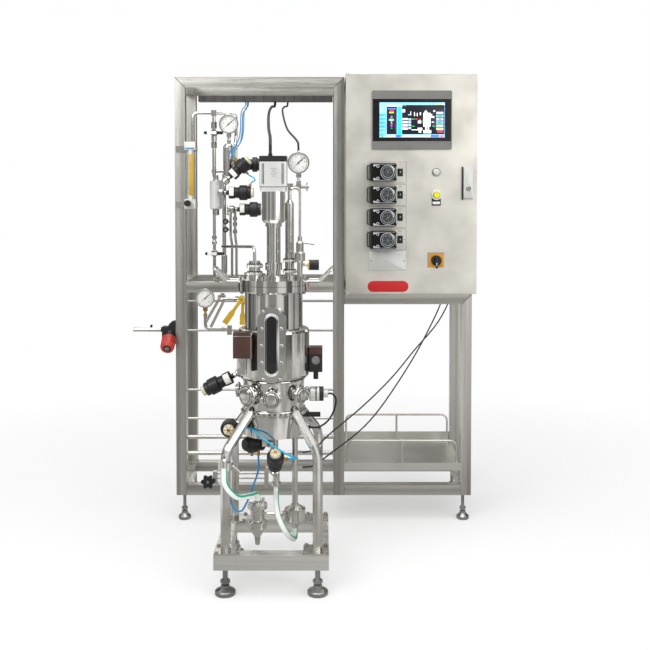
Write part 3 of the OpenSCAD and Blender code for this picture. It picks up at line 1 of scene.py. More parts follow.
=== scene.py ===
"""Bench bioreactor dressed around its CAD frame.

The frame holds every solid. This script gives each of them its finish, and adds what is too fine
for the solids: the operator screen, dials, pointers, clamps, nuts, labels, stripes and tube strands.
Lengths are metres, and millimetres where a table or an argument says so. Places are given in the
stand's own axes (x from its left side, y back from its front, z up from the floor), and Stand.at
and Stand.mm carry them into the frame.
"""

from __future__ import annotations

import logging
import math
from collections.abc import Sequence
from dataclasses import dataclass
from enum import Enum

import bpy
import numpy as np
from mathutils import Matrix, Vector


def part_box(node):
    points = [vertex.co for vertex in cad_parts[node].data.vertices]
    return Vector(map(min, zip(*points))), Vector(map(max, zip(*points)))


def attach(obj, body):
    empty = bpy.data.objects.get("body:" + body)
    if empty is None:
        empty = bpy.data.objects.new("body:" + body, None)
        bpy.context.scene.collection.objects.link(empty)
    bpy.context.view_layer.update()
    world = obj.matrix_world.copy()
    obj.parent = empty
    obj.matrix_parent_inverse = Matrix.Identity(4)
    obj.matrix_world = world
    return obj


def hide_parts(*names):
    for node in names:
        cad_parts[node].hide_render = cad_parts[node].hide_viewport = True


LOG = logging.getLogger("bioreactor")
Point = Sequence[float]
Tree = bpy.types.NodeTree
Socket = bpy.types.NodeSocket

MM = 0.001
X_AXIS, Y_AXIS, Z_AXIS = np.eye(3)
FRONT = -Y_AXIS


# ---------- colours and materials ----------


def linear(code: str) -> tuple[float, float, float, float]:
    """Turns an sRGB hex code into linear light.

    Args:
        code: six hex digits after a hash.

    Returns:
        Red, green, blue and an alpha of 1.
    """
    channels = [int(code[i : i + 2], 16) / 255 for i in (1, 3, 5)]
    bright = [c / 12.92 if c <= 0.04045 else ((c + 0.055) / 1.055) ** 2.4 for c in channels]
    return (bright[0], bright[1], bright[2], 1.0)


def add_node(
    tree: Tree, kind: str, inputs: dict[str | int, object] | None = None, **settings: object
) -> bpy.types.Node:
    """Adds one node with its settings, socket values and links.

    Args:
        tree: the node tree that gets the node.
        kind: the node's type name.
        inputs: value, or output socket to link, for each input by name or number.
        settings: the node's own properties.

    Returns:
        The new node.
    """
    made = tree.nodes.new(kind)
    for key, value in settings.items():
        setattr(made, key, value)
    for key, value in (inputs or {}).items():
        if isinstance(value, bpy.types.NodeSocket):
            tree.links.new(value, made.inputs[key])
        else:
            made.inputs[key].default_value = value
    return made


def remap(tree: Tree, value: Socket, span: Point, to: Point = (0.0, 1.0), smooth: bool = False) -> Socket:
    """Carries a value from one span to another, with soft ends where smooth."""
    inputs = {"Value": value, "From Min": span[0], "From Max": span[1], "To Min": to[0], "To Max": to[1]}
    kind = "SMOOTHSTEP" if smooth else "LINEAR"
    return add_node(tree, "ShaderNodeMapRange", inputs, interpolation_type=kind).outputs["Result"]


def mixed(tree: Tree, factor: Socket, first: str, second: str) -> Socket:
    """The colour between two hex colours that a factor from 0 to 1 picks."""
    inputs = {0: factor, 6: linear(first), 7: linear(second)}
    return add_node(tree, "ShaderNodeMix", inputs, data_type="RGBA").outputs[2]


def emission(tree: Tree, colour: Socket | Point, strength: float = 1.0) -> Socket:
    """Light of one colour and strength."""
    return add_node(tree, "ShaderNodeEmission", {"Color": colour, "Strength": strength}).outputs[0]


def noise(tree: Tree, place: Socket, sizes: Point, detail: float, shift: Point = (0.0, 0.0, 0.0)) -> Socket:
    """Noise whose features have the given sizes along X, Y and Z.

    Args:
        tree: the material's tree.
        place: the Object coordinates.
        sizes: the features' size along each axis, in metres.
        detail: octaves of the noise.
        shift: where the pattern starts, in features.

    Returns:
        The noise factor.
    """
    laid = {"Vector": place, "Scale": tuple(1.0 / size for size in sizes), "Location": shift}
    moved = add_node(tree, "ShaderNodeMapping", laid).outputs["Vector"]
    inputs = {"Vector": moved, "Scale": 1.0, "Detail": detail}
    return add_node(tree, "ShaderNodeTexNoise", inputs).outputs["Fac"]


def object_place(tree: Tree) -> Socket:
    """The Object coordinates."""
    return add_node(tree, "ShaderNodeTexCoord").outputs["Object"]


def new_material(name: str) -> tuple[bpy.types.Material, Tree]:
    """Makes an empty node material.

    Args:
        name: the finish's name.

    Returns:
        The material and its cleared node tree.
    """
    material = bpy.data.materials.new(name)
    material.use_nodes = True
    material.node_tree.nodes.clear()
    return material, material.node_tree


class Grain(Enum):
    """Way in which a surface was worked: how far its pattern is drawn out along X, Y and Z."""

    EVEN = (1.0, 1.0, 1.0)
    ALONG_X = (60.0, 1.0, 1.0)
    ALONG_Y = (1.0, 60.0, 1.0)
    ALONG_Z = (1.0, 1.0, 60.0)


# Spans of a noise factor over which colour and gloss change, and the height of the fine relief
COLOUR_SPAN = (0.35, 0.7)
GLOSS_SPAN = (0.3, 0.7)
RELIEF_HEIGHT = 0.0004


@dataclass(frozen=True)
class Finish:
    """A solid finish whose colour, gloss and surface all vary with one fine and one coarse noise."""

    name: str
    colour: str
    worn: str
    roughness: float
    metallic: float = 0.0
    spread: float = 0.08
    fine: float = 0.0012
    coarse: float = 0.06
    grain: Grain = Grain.EVEN
    relief: float = 0.1
    coat: float = 0.0
    glow: float = 0.0

    def pattern(self, tree: Tree, place: Socket, size: float, detail: float) -> Socket:
        """Noise with features of one size across the grain, drawn out along it."""
        return noise(tree, place, [size * stretch for stretch in self.grain.value], detail)

    def shade(self, tree: Tree, place: Socket) -> bpy.types.Node:
        """Builds the shader.

        Args:
            tree: the material's tree.
            place: the Object coordinates.

        Returns:
            The Principled shader node.
        """
        fine = self.pattern(tree, place, self.fine, 3.0)
        coarse = self.pattern(tree, place, self.coarse, 2.0)
        tint = mixed(tree, remap(tree, coarse, COLOUR_SPAN), self.colour, self.worn)
        limits = (max(0.02, self.roughness - self.spread), min(1.0, self.roughness + self.spread))
        bump = {"Height": fine, "Strength": self.relief, "Distance": RELIEF_HEIGHT}
        inputs = {
            "Base Color": tint,
            "Roughness": remap(tree, fine, GLOSS_SPAN, limits),
            "Normal": add_node(tree, "ShaderNodeBump", bump).outputs["Normal"],
            "Metallic": self.metallic,
            "Coat Weight": self.coat,
        }
        if self.glow:
            inputs |= {"Emission Color": tint, "Emission Strength": self.glow}
        return add_node(tree, "ShaderNodeBsdfPrincipled", inputs)

    def material(self) -> bpy.types.Material:
        """The finish as a material, made once and then shared."""
        known = bpy.data.materials.get(self.name)
        if known:
            return known
        material, tree = new_material(self.name)
        shader = self.shade(tree, object_place(tree))
        add_node(tree, "ShaderNodeOutputMaterial", {"Surface": shader.outputs["BSDF"]})
        return material


@dataclass(frozen=True)
class ClearFinish(Finish):
    """A see-through finish, such as glass or clear moulded cover."""

    ior: float = 1.5
    clearness: float = 1.0

    def shade(self, tree: Tree, place: Socket) -> bpy.types.Node:
        """Adds the clear part to the solid shader.

        Args:
            tree: the material's tree.
            place: the Object coordinates.

        Returns:
            The Principled shader node.
        """
        shader = super().shade(tree, place)
        shader.inputs["Transmission Weight"].default_value = self.clearness
        shader.inputs["IOR"].default_value = self.ior
        return shader

# Square tube, ground along its length: soft streaks and a grey sheen. Real scratches are about
# 0.1 mm wide; here they are drawn 1.2 mm wide so that they show.
TUBE_UPRIGHT = Finish(
    "ground_stainless_tube_upright", "#d9d7d1", "#8d8b85", 0.34, 1.0, 0.1,
    coarse=0.035, grain=Grain.ALONG_Z, relief=0.06,
)
TUBE_LEVEL = Finish(
    "ground_stainless_tube_level", "#e6e4de", "#a3a19b", 0.34, 1.0, 0.1,
    coarse=0.035, grain=Grain.ALONG_X, relief=0.06,
)
# Square tube of the skid: ground like the frame, with fainter streaks; its paler colour is painted light, a
# lit copy of the frame steel that offsets the dark floor bands it reflects
SKID = Finish(
    "ground_stainless_skid_painted_paler", "#fbfaf6", "#d2d1cc", 0.36, 1.0, 0.1,
    coarse=0.03, grain=Grain.ALONG_X, relief=0.06,
)
# Finely brushed sheet of the door: warm grey in broad, faint clouds
SHEET = Finish("brushed_stainless_sheet", "#efece4", "#d7d4cc", 0.38, 1.0, coarse=0.12, relief=0.05)
# The same sheet on the cabinet's sides, brushed upright
SHEET_UPRIGHT = Finish(
    "brushed_stainless_sheet_upright", "#d9d6cf", "#cac7c0", 0.4, 1.0, 0.07,
    grain=Grain.ALONG_Z, relief=0.04,
)
# Sheet of the shelf tray: plain mill finish, greyer than the cabinet
TRAY = Finish("mill_finish_tray", "#dfddd7", "#cac8c2", 0.4, 1.0, 0.06, coarse=0.2, relief=0.03)
# Mirror-polished vessel steel: sharp reflections, barely uneven
POLISHED = Finish(
    "mirror_polished_stainless", "#dddcd9", "#cdcbc7", 0.09, 1.0, 0.03, fine=0.004, coarse=0.08, relief=0.02
)
# Bright-drawn pipe: glossy with faint haze
PIPE = Finish("bright_drawn_stainless_pipe", "#e2e0dc", "#cdcac5", 0.15, 1.0, 0.04, fine=0.003, relief=0.012)
# Electropolished process line: paler than drawn pipe, with a satin gloss
LINE = Finish("electropolished_line_pipe", "#d9d7d3", "#c2bfba", 0.18, 1.0, 0.04, fine=0.003, relief=0.012)
# Zinc-plated steel of nuts, studs and switch gear: cooler and duller than stainless
ZINC = Finish("zinc_plated_steel", "#b4b5b3", "#8f908e", 0.3, 1.0, 0.08, fine=0.002, relief=0.08)
# Ground aluminium housing of the motor: white-silver, satin
SILVER = Finish("satin_anodised_aluminium", "#dcdcda", "#cfcfcc", 0.36, 0.35, 0.06, fine=0.0015, relief=0.06)
# Turned brass of the air fittings: warm yellow metal
BRASS = Finish("turned_brass", "#c9a35c", "#a9823f", 0.24, 1.0, 0.06, fine=0.002, relief=0.05)
# Moulded glass-filled nylon: near black, low gloss, fine grain
BLACK = Finish("black_moulded_nylon", "#161617", "#1f1f21", 0.42, fine=0.0015, relief=0.12)
# Rubber cable sheath: soft black sheen
SHEATH = Finish("black_pvc_sheath", "#141415", "#1d1d1e", 0.5, fine=0.002, relief=0.08)
# Moulded bezel: mid grey, textured
BEZEL = Finish("grey_textured_abs", "#71706d", "#696865", 0.5, fine=0.0011, relief=0.15)
# Duct and control gear: dark grey, slightly uneven; the dark is partly painted shade, for a duct that lies in
# shadow at the back of the frame
DUCT = Finish("dark_grey_duct_and_painted_shade", "#4d4c4a", "#424140", 0.5, fine=0.003, relief=0.1)
# White moulded blocks, bands and labels, and the cream caps of the actuators
WHITE = Finish("white_moulded_acetal", "#eceae4", "#dcd9d1", 0.4, fine=0.002, relief=0.06)
CREAM = Finish("cream_moulded_cap", "#e4dcc4", "#d2c8ab", 0.42, fine=0.002, relief=0.06)
# Yellow dipped lever sleeve: soft gloss
YELLOW = Finish("yellow_vinyl_sleeve", "#cdaa17", "#b89410", 0.4, fine=0.002, relief=0.06)
# Red anodised and lacquered regulator knob
RED = Finish("red_enamelled_knob", "#c3301f", "#9d2418", 0.3, fine=0.002, relief=0.05, coat=0.3)
# Polyurethane air tube: saturated blue with a waxy gloss
BLUE_TUBE = Finish("blue_polyurethane_tube", "#128cc8", "#0f7db4", 0.28, fine=0.002, relief=0.03)
CYAN_TUBE = Finish("cyan_polyurethane_tube", "#1fb0d8", "#1899c4", 0.28, fine=0.002, relief=0.03)
# Reinforced silicone hose: white, faintly green, with a stripe
HOSE = Finish("white_silicone_hose", "#f0f2ee", "#e0e5df", 0.38, fine=0.002, relief=0.05)
STRIPE = Finish("green_hose_stripe", "#2fae8c", "#289a7c", 0.4, fine=0.002, relief=0.05)
# Toughened glass, near black as painted shade for the unlit inside of the vessel behind it, and the panel's
# black glass
PANE = Finish("sight_glass_painted_shade", "#0b0c0d", "#16181a", 0.06, spread=0.02, fine=0.003, relief=0.01, coat=0.6)
PANEL_GLASS = Finish("black_panel_glass", "#0c0f14", "#10141a", 0.1, spread=0.03, fine=0.003, relief=0.01)
# Clear moulded cover of a pump head
CLEAR = ClearFinish("clear_polycarbonate", "#e8eef0", "#dfe7ea", 0.04, spread=0.03, relief=0.02, ior=1.58)
# Brown enamelled box on the jacket
BROWN = Finish("brown_enamelled_box", "#4a2b21", "#3a221a", 0.35, fine=0.002, relief=0.06, coat=0.2)
# Printed lines, and painted shade in seams, slots, grooves, holes and gaps: matt near-black
INK_AND_SHADE = Finish("matt_black_print_and_painted_shade", "#1b1b1c", "#26262a", 0.6, fine=0.002, relief=0.05)
# Dial card: matt white
DIAL = Finish("white_dial_card", "#e4e4e1", "#d9d9d5", 0.5, fine=0.002, relief=0.02)
# Hazy moulded rims of the pump heads and the button's collar: pale grey gloss; also the painted highlights on
# the pump covers
FROST_AND_HIGHLIGHT = Finish("hazy_rim_and_painted_highlight", "#e2e5e7", "#c9cdd0", 0.22, fine=0.002, relief=0.04, coat=0.3)
# Milky lamp lens: pale, waxy gloss
LENS = Finish("milky_lamp_lens", "#c6c6c2", "#b6b7b3", 0.25, fine=0.002, relief=0.03, coat=0.4)
# Orange enamelled switch plate
ORANGE = Finish("orange_enamelled_plate", "#c88800", "#bb7d00", 0.5, fine=0.002, relief=0.05)
# Bare plate of satin aluminium: paler and cooler than the door
PALE = Finish("satin_aluminium_plate", "#d2d3cf", "#c6c7c3", 0.5, 0.6, 0.06, relief=0.04)
# Push button's face: greenish yellow, glossy
LEMON = Finish("yellow_button_face", "#dcdc10", "#cccb0c", 0.28, fine=0.002, relief=0.02)
# Yellow scale card behind the meter's tube
SCALE = Finish("yellow_scale_card", "#c9a200", "#b79200", 0.42, fine=0.002, relief=0.03)
# Red enamelled badge: even, glossy
BADGE = Finish("red_enamelled_badge", "#ba000c", "#ac000a", 0.5, fine=0.002, relief=0.04)

# ---------- surfaces ----------


def unit(v: Point) -> np.ndarray:
    """The vector v at length 1."""
    v = np.asarray(v, float)
    return v / np.linalg.norm(v)


def grid_quads(rows: int, columns: int) -> np.ndarray:
    """Quads of a grid whose columns close on themselves.

    Args:
        rows: points along the first parameter.
        columns: points round the second parameter.

    Returns:
        One row of four vertex numbers for each quad, seen anticlockwise from outside.
    """
    i, j = np.meshgrid(np.arange(rows - 1), np.arange(columns), indexing="ij")
    k = (j + 1) % columns
    quads = [i * columns + j, i * columns + k, (i + 1) * columns + k, (i + 1) * columns + j]
    return np.stack(quads, axis=-1).reshape(-1, 4)


@dataclass
class Surface:
    """Points and polygons of one closed surface, in the frame."""

    points: np.ndarray
    polygons: list[list[int]]

    @staticmethod
    def tube_of(rings: np.ndarray, closed: bool = False) -> Surface:
        """Joins equal rings of points into a tube and closes its two ends.

        Args:
            rings: array of ring, point on the ring, coordinate.
            closed: true where the last ring meets the first.

        Returns:
            The surface.
        """
        count, around = rings.shape[:2]
        if closed:
            rings = np.concatenate([rings, rings[:1]])
            quads = grid_quads(count + 1, around) % (count * around)
            return Surface(rings[:-1].reshape(-1, 3), quads.tolist())
        start = list(range(around - 1, -1, -1))
        end = list(range((count - 1) * around, count * around))
        return Surface(rings.reshape(-1, 3), grid_quads(count, around).tolist() + [start, end])


def joined(surfaces: Sequence[Surface]) -> Surface:
    """Puts several surfaces into one.

    Args:
        surfaces: the surfaces, which don't share points.

    Returns:
        One surface with all their points and polygons.
    """
    starts = np.cumsum([0] + [len(s.points) for s in surfaces])
    polygons = [[int(start) + n for n in p] for s, start in zip(surfaces, starts) for p in s.polygons]
    return Surface(np.concatenate([s.points for s in surfaces]), polygons)


def across(axis: np.ndarray) -> tuple[np.ndarray, np.ndarray]:
    """Two unit vectors square to an axis and to each other, turning anticlockwise about it."""
    side = np.array([0.0, 0.0, 1.0]) if abs(axis[2]) < 0.9 else np.array([0.0, 1.0, 0.0])
    first = unit(np.cross(side, axis))
    return first, np.cross(axis, first)



def spokes(angles: np.ndarray | float, first: np.ndarray, second: np.ndarray) -> np.ndarray:
    """Unit vectors at angles in radians, turning from first towards second."""
    angles = np.asarray(angles)[..., None]
    return np.cos(angles) * first + np.sin(angles) * second


def face_axes(angle: float) -> tuple[np.ndarray, np.ndarray]:
    """The spoke at an angle from +X towards +Z on a front face, and the direction square to it."""
    return spokes(angle, X_AXIS, Z_AXIS), spokes(angle + np.pi / 2, X_AXIS, Z_AXIS)


def circle(count: int) -> np.ndarray:
    """Angles of points evenly round a circle."""
    return np.arange(count) * 2 * np.pi / count


def turned(profile: Sequence[Point], base: Point, tip: Point, sides: int = 40) -> Surface:
    """A turned shape: base + height * axis + radius * (cos t * first + sin t * second).

    Args:
        profile: radius and height of each ring; the ends are closed flat.
        base: point where the height is 0.
        tip: any point further along the axis.
        sides: points in each ring.

    Returns:
        The surface.
    """
    base = np.asarray(base, float)
    axis = unit(np.asarray(tip, float) - base)
    radius, height = np.asarray(profile, float).T[:, :, None, None]
    return Surface.tube_of(base + height * axis + radius * spokes(circle(sides), *across(axis)))


def nut(base: Point, tip: Point, across_flats: float, height: float) -> Surface:
    """A hexagon nut with a chamfer: a turned shape of six sides."""
    r = across_flats / math.sqrt(3)
    profile = [(r * 0.86, 0), (r, height * 0.15), (r, height * 0.85), (r * 0.86, height)]
    return turned(profile, base, tip, 6)


def ring(
    centre: Point, axis: Point, radius: float, thick: float, sides: int = 40, section: int = 10
) -> Surface:
    """A round-section ring: centre + (radius + thick * cos s) * spoke + thick * sin s * axis.

    Args:
        centre: the ring's centre.
        axis: direction square to the ring.
        radius: radius of the ring's centre line.
        thick: radius of its section.
        sides: points round the ring.
        section: points round the section.

    Returns:
        The surface.
    """
    axis = unit(axis)
    s = circle(section)[None, :, None]
    spoke = spokes(circle(sides), *across(axis))[:, None, :]
    rings = np.asarray(centre, float) + (radius + thick * np.cos(s)) * spoke + thick * np.sin(s) * axis
    return Surface.tube_of(rings[:, ::-1], closed=True)



def path_axes(path: np.ndarray) -> tuple[np.ndarray, np.ndarray]:
    """Two directions square to a path at each point, carried along it without twist.

    Args:
        path: the path's points.

    Returns:
        The first and second directions, one row for each point.
    """
    steps = np.diff(path, axis=0)
    steps /= np.linalg.norm(steps, axis=1)[:, None]
    tangent = np.vstack([steps[:1], steps[:-1] + steps[1:], steps[-1:]])
    tangent /= np.linalg.norm(tangent, axis=1)[:, None]
    first = [across(tangent[0])[0]]
    for t in tangent[1:]:
        first.append(unit(first[-1] - t * np.dot(first[-1], t)))
    normal = np.array(first)
    return normal, np.cross(tangent, normal)


def swept(path: np.ndarray, radius: float, sides: int = 14) -> Surface:
    """A round tube: path + radius * (cos t * first + sin t * second) at each point of the path."""
    first, second = path_axes(path)
    around = spokes(circle(sides), first[:, None, :], second[:, None, :])
    return Surface.tube_of(path[:, None, :] + radius * around)


def between(t: np.ndarray, low: float, high: float, first: np.ndarray, second: np.ndarray) -> np.ndarray:
    """The points at t on the line that passes first at low and second at high."""
    return ((high - t) * first + (t - low) * second) / (high - low)



def smooth_route(points: Sequence[Point], count: int) -> np.ndarray:
    """A smooth curve through points: a centripetal Catmull-Rom spline, spaced evenly.

    Args:
        points: the points that it passes through.
        count: how many points come back.

    Returns:
        The curve's points.
    """
    p = np.asarray(points, float)
    p = np.vstack([2 * p[0] - p[1], p, 2 * p[-1] - p[-2]])
    knots = np.concatenate([[0], np.cumsum(np.sqrt(np.linalg.norm(np.diff(p, axis=0), axis=1)))])
    parts = []
    for i in range(1, len(p) - 2):
        t = np.linspace(knots[i], knots[i + 1], 24, endpoint=False)[:, None]
        k = knots[i - 1 : i + 3]
        q = p[i - 1 : i + 3]
        a = [between(t, k[j], k[j + 1], q[j], q[j + 1]) for j in range(3)]
        b = [between(t, k[j], k[j + 2], a[j], a[j + 1]) for j in range(2)]
        parts.append(between(t, k[1], k[2], b[0], b[1]))
    curve = np.vstack([*parts, p[-2:-1]])
    along = np.concatenate([[0], np.cumsum(np.linalg.norm(np.diff(curve, axis=0), axis=1))])
    even = np.linspace(0, along[-1], count)
    return np.stack([np.interp(even, along, curve[:, i]) for i in range(3)], axis=1)


def rounded_outline(width: float, height: float, corner: float, steps: int = 5) -> np.ndarray:
    """A rectangle with round corners, anticlockwise: a quarter circle about each corner's centre."""
    corner = max(min(corner, width / 2, height / 2), 1e-5)
    quarter = np.linspace(0, np.pi / 2, steps)
    centres = np.array([(1, 1), (-1, 1), (-1, -1), (1, -1)]) * (width / 2 - corner, height / 2 - corner)
    angle = quarter[None, :] + (np.arange(4) * np.pi / 2)[:, None]
    arcs = corner * np.stack([np.cos(angle), np.sin(angle)], axis=-1)
    return (centres[:, None, :] + arcs).reshape(-1, 2)


def plate(
    centre: Point,
    right: Point,
    up: Point,
    size: tuple[float, float],
    depth: float,
    corner: float = 0.002,
    edge: float = 0.0006,
) -> Surface:
    """A plate with round corners and eased front edges, standing out from centre along right x up.

    Args:
        centre: middle of the plate's back.
        right: direction of its width.
        up: direction of its height.
        size: width and height.
        depth: thickness.
        corner: radius of its corners.
        edge: radius of its front edges.

    Returns:
        The surface.
    """
    right, up = unit(right), unit(up)
    out = np.cross(right, up)
    edge = min(edge, depth * 0.9)
    levels = [(0.0, 0.0), (0.0, depth - edge), (edge * 0.3, depth - edge * 0.3), (edge, depth)]
    rings = []
    for inset, level in levels:
        flat = rounded_outline(size[0] - 2 * inset, size[1] - 2 * inset, corner - inset)
        rings.append(np.asarray(centre) + flat[:, :1] * right + flat[:, 1:] * up + level * out)
    return Surface.tube_of(np.array(rings))


def smooth_edges(mesh: bpy.types.Mesh, angle: float = 35.0) -> None:
    """Shades a mesh smooth and keeps edges sharper than an angle in degrees."""
    mesh.polygons.foreach_set("use_smooth", np.ones(len(mesh.polygons), bool))
    mesh.set_sharp_from_angle(angle=math.radians(angle))


def link(made: bpy.types.Object) -> bpy.types.Object:
    """Puts an object in the scene."""
    bpy.context.scene.collection.objects.link(made)
    return made


def make_piece(
    name: str, surfaces: Surface | Sequence[Surface], finish: Finish, body: str = "stand"
) -> bpy.types.Object:
    """Makes a piece from surfaces, gives it a finish and lets it ride on a body.

    Args:
        name: the piece's name.
        surfaces: one surface or several that become one mesh.
        finish: its finish.
        body: the CAD body that carries it.

    Returns:
        The piece's object, at the origin.
    """
    whole = surfaces if isinstance(surfaces, Surface) else joined(surfaces)
    mesh = bpy.data.meshes.new(name)
    mesh.from_pydata(whole.points.tolist(), [], whole.polygons)
    mesh.validate()
    smooth_edges(mesh)
    mesh.materials.append(finish.material())
    piece = link(bpy.data.objects.new(name, mesh))
    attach(piece, body)
    LOG.info("%s: %d polygons on %s", name, len(mesh.polygons), body)
    return piece


# ---------- the stand's axes ----------


@dataclass
class Stand:
    """The stand's own axes in the frame, worked out from its posts."""

    origin: np.ndarray

    @classmethod
    def measured(cls) -> Stand:
        """Reads the left side and front of the posts; the floor is at height 0."""
        low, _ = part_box("frame_posts")
        return cls(np.array([low.x, low.y, 0.0]))

    def at(self, x: float, y: float, z: float) -> np.ndarray:
        """A point in the frame from one in the stand's axes."""
        return self.origin + (x, y, z)

    def mm(self, places: Point | Sequence[Point]) -> np.ndarray:
        """One point in the frame, or several, from millimetres in the stand's axes."""
        return self.origin + np.asarray(places, float) * MM


# ---------- cords ----------


@dataclass
class Cord:
    """One cord: its CAD node, radius, finish, and the points that it passes through, in millimetres.

    Strands are offsets across the path in metres, and the stripe is its turn round the hose in degrees.
    """

    node: str
    radius: float
    finish: Finish
    points: Sequence[Point]
    stiffness: str = "medium"
    strands: tuple[tuple[float, float], ...] = ()
    stripe: float | None = None
    rings: int = 33

    def build(self, stand: Stand) -> list[bpy.types.Object]:
        """Args:
            stand: the stand's axes.

        Returns:
            The pieces.
        """
        path = smooth_route(stand.mm(self.points), self.rings)
        offsets = self.strands or ((0.0, 0.0),)
        normal, second = path_axes(path)
        pieces = []
        for number, (a, b) in enumerate(offsets):
            line = path + a * normal + b * second
            name = f"{self.node}_line" + (f"_{number + 1}" if self.strands else "")
            piece = make_piece(name, swept(line, self.radius), self.finish, "stand")
            extra = [self.striped(line)] if self.stripe is not None else []
            if number == 0:
                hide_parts(self.node)
            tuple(line[0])
            pieces += [piece, *extra]
        return pieces

    def striped(self, line: np.ndarray) -> bpy.types.Object:
        """The stripe: an arc of 50 degrees, 0.15 mm proud of the hose, carried along its path."""
        first, second = path_axes(line)
        half, proud, sunk, count = 25, 0.00015, 0.0002, 7
        t = np.radians(self.stripe + np.linspace(-half, half, count))
        spoke = spokes(np.concatenate([t, t[::-1]]), first[:, None, :], second[:, None, :])
        radius = np.repeat([self.radius + proud, self.radius - sunk], count)[:, None]
        rings = line[:, None, :] + radius * spoke
        return make_piece(f"{self.node}_stripe", Surface.tube_of(rings), STRIPE, "stand")

CORDS = (
    Cord(
        "motor_cable", 0.005, SHEATH,
        [(355, 319, 1588), (355, 319, 1576), (348, 180, 1556), (348, 0, 1518), (364, -300, 1440),
         (378, -460, 1398), (380, -493, 1372), (380, -493, 1348)],
    ),
    Cord(
        "sensor_cable", 0.0035, SHEATH,
        [(406, 319, 1588), (406, 319, 1577), (397, 180, 1556), (398, 0, 1524), (426, -260, 1440),
         (460, -430, 1396), (469, -467, 1379), (469, -467, 1361)],
    ),
    Cord(
        "air_tubes", 0.002, BLUE_TUBE,
        [(242, 319, 1588), (242, 319, 1576), (246, 60, 1520), (250, -20, 1450), (246, -72, 1408),
         (229, -104, 1378), (216, -112, 1362), (225.1, -110, 1349.7), (230.5, -110, 1343.8)],
        strands=((0.0, 0.0062), (0.0056, -0.003), (-0.0056, -0.003)),
    ),
    Cord(
        "air_loop", 0.0025, CYAN_TUBE,
        [(277.7, -110, 1292.1), (283.1, -110, 1286.2), (301, -117, 1276), (304, -117, 1268),
         (292.3, -110, 1261.3), (287.8, -110, 1253.5)],
        stiffness="limp",
    ),
    Cord(
        "signal_tube", 0.003, CYAN_TUBE,
        [(302, -560.6, 488), (316, -560.6, 488), (352, -608, 476), (402, -632, 446),
         (450, -618, 414), (468, -588, 400), (448.4, -569.6, 393), (436.4, -569.6, 393)],
    ),
    Cord(
        "vent_tube", 0.003, BLUE_TUBE,
        [(342, -525.2, 391.1), (342, -525, 345), (324, -528, 290), (304, -520, 238),
         (282, -508, 204), (260, -504, 216), (248, -512, 290), (254, -560.6, 407),
         (254, -560.6, 452)],
    ),
    Cord(
        "steam_hose_upper", 0.0085, HOSE,
        [(249, -672, 396), (249, -672, 378), (252, -674, 344), (284, -664, 304), (316, -622, 292),
         (341, -556, 274), (341, -556, 256)],
        stripe=200.0,
    ),
    Cord(
        "steam_hose_lower", 0.0085, HOSE,
        [(398, -513, 292), (398, -513, 274), (400, -554, 252), (410, -590, 214), (436, -590, 164),
         (456, -552, 134), (458, -520, 142), (458, -520, 160)],
        stripe=200.0,
    ),
    Cord(
        "probe_cable", 0.003, SHEATH,
        [(563, -493, 582), (575, -493, 582), (588, -488, 566), (584, -482, 530), (562, -479, 490),
         (531, -479, 470), (507, -479, 470)],
        stiffness="limp",
    ),
    Cord(
        "bay_cable_left", 0.0025, SHEATH,
        [(1040, 150, 840), (1040, 150, 820), (990, 115, 730), (894, 60, 630), (800, -70, 552),
         (690, -210, 480), (571, -380, 424), (502, -520, 400), (482, -520, 400)],
    ),
    Cord(
        "bay_cable_right", 0.0025, SHEATH,
        [(1010, 150, 840), (1010, 150, 818), (933, 60, 680), (830, -50, 540), (710, -190, 418),
         (577, -370, 358), (502, -520, 352), (482, -520, 352)],
    ),
)


# ---------- finishes of the CAD solids ----------

# The solids of each finish
SOLIDS: dict[Finish, str] = {
    TUBE_UPRIGHT: "frame_posts",
    TUBE_LEVEL: "frame_rails",
    ZINC: "levelling_feet door_handle lid_bolts",
    TRAY: "shelf_tray",
    DUCT: "cable_duct control_gear",
    SHEET_UPRIGHT: "cabinet_shell",
    SHEET: "cabinet_door door_plates",
    BEZEL: "hmi_bezel",
    PANEL_GLASS: "hmi_screen",
    BLACK: (
        "pump_housings pump_rotor_1 pump_rotor_2 pump_rotor_3 pump_rotor_4 rocker_switches "
        "main_switch_knob motor_cap valve_actuators ball_lever_upper ball_lever_lower star_handwheel "
        "inlet_regulator sensor_heads"
    ),
    CLEAR: "pump_covers",
    YELLOW: "push_button yellow_lever_left yellow_lever_right",
    SKID: "skid_base",
    PIPE: "vessel_legs drain_traps",
    POLISHED: (
        "vessel_body heating_jacket vessel_lid sight_glass_frame side_ports lid_ports agitator "
        "drive_lantern"
    ),
    PANE: "sight_glass",
    SILVER: "drive_motor",
    LINE: "exhaust_line gauges process_pipes",
    WHITE: "rotameter",
    RED: "regulator_knob",
}


def dress_solids(nodes: dict[str, bpy.types.Object]) -> None:
    """Gives every shown CAD solid its finish.

    Args:
        nodes: the frame's solids by name.
    """
    for finish, names in SOLIDS.items():
        for name in names.split():
            mesh = nodes[name].data
            if not mesh.materials:
                mesh.materials.append(finish.material())
            for slot in nodes[name].material_slots:
                slot.material = finish.material()

# ---------- detail pieces ----------


def lit(name: str, colour: str, worn: str) -> Finish:
    """A lit patch of the screen: a slightly uneven colour that glows by itself."""
    return Finish(f"screen_{name}", colour, worn, 0.2, spread=0.04, fine=0.002, relief=0.01, glow=0.75)


def disc_profile(radius: float, depth: float) -> list[Point]:
    """Profile of a flat disc with an eased edge."""
    return [(radius, 0.0), (radius, depth * 0.7), (radius - depth * 0.3, depth)]


def disc(centre: np.ndarray, axis: Point, radius: float, depth: float, sides: int = 40) -> Surface:
    """A flat disc with an eased edge, standing out from centre along axis."""
    return turned(disc_profile(radius, depth), centre, centre + np.asarray(axis, float), sides)


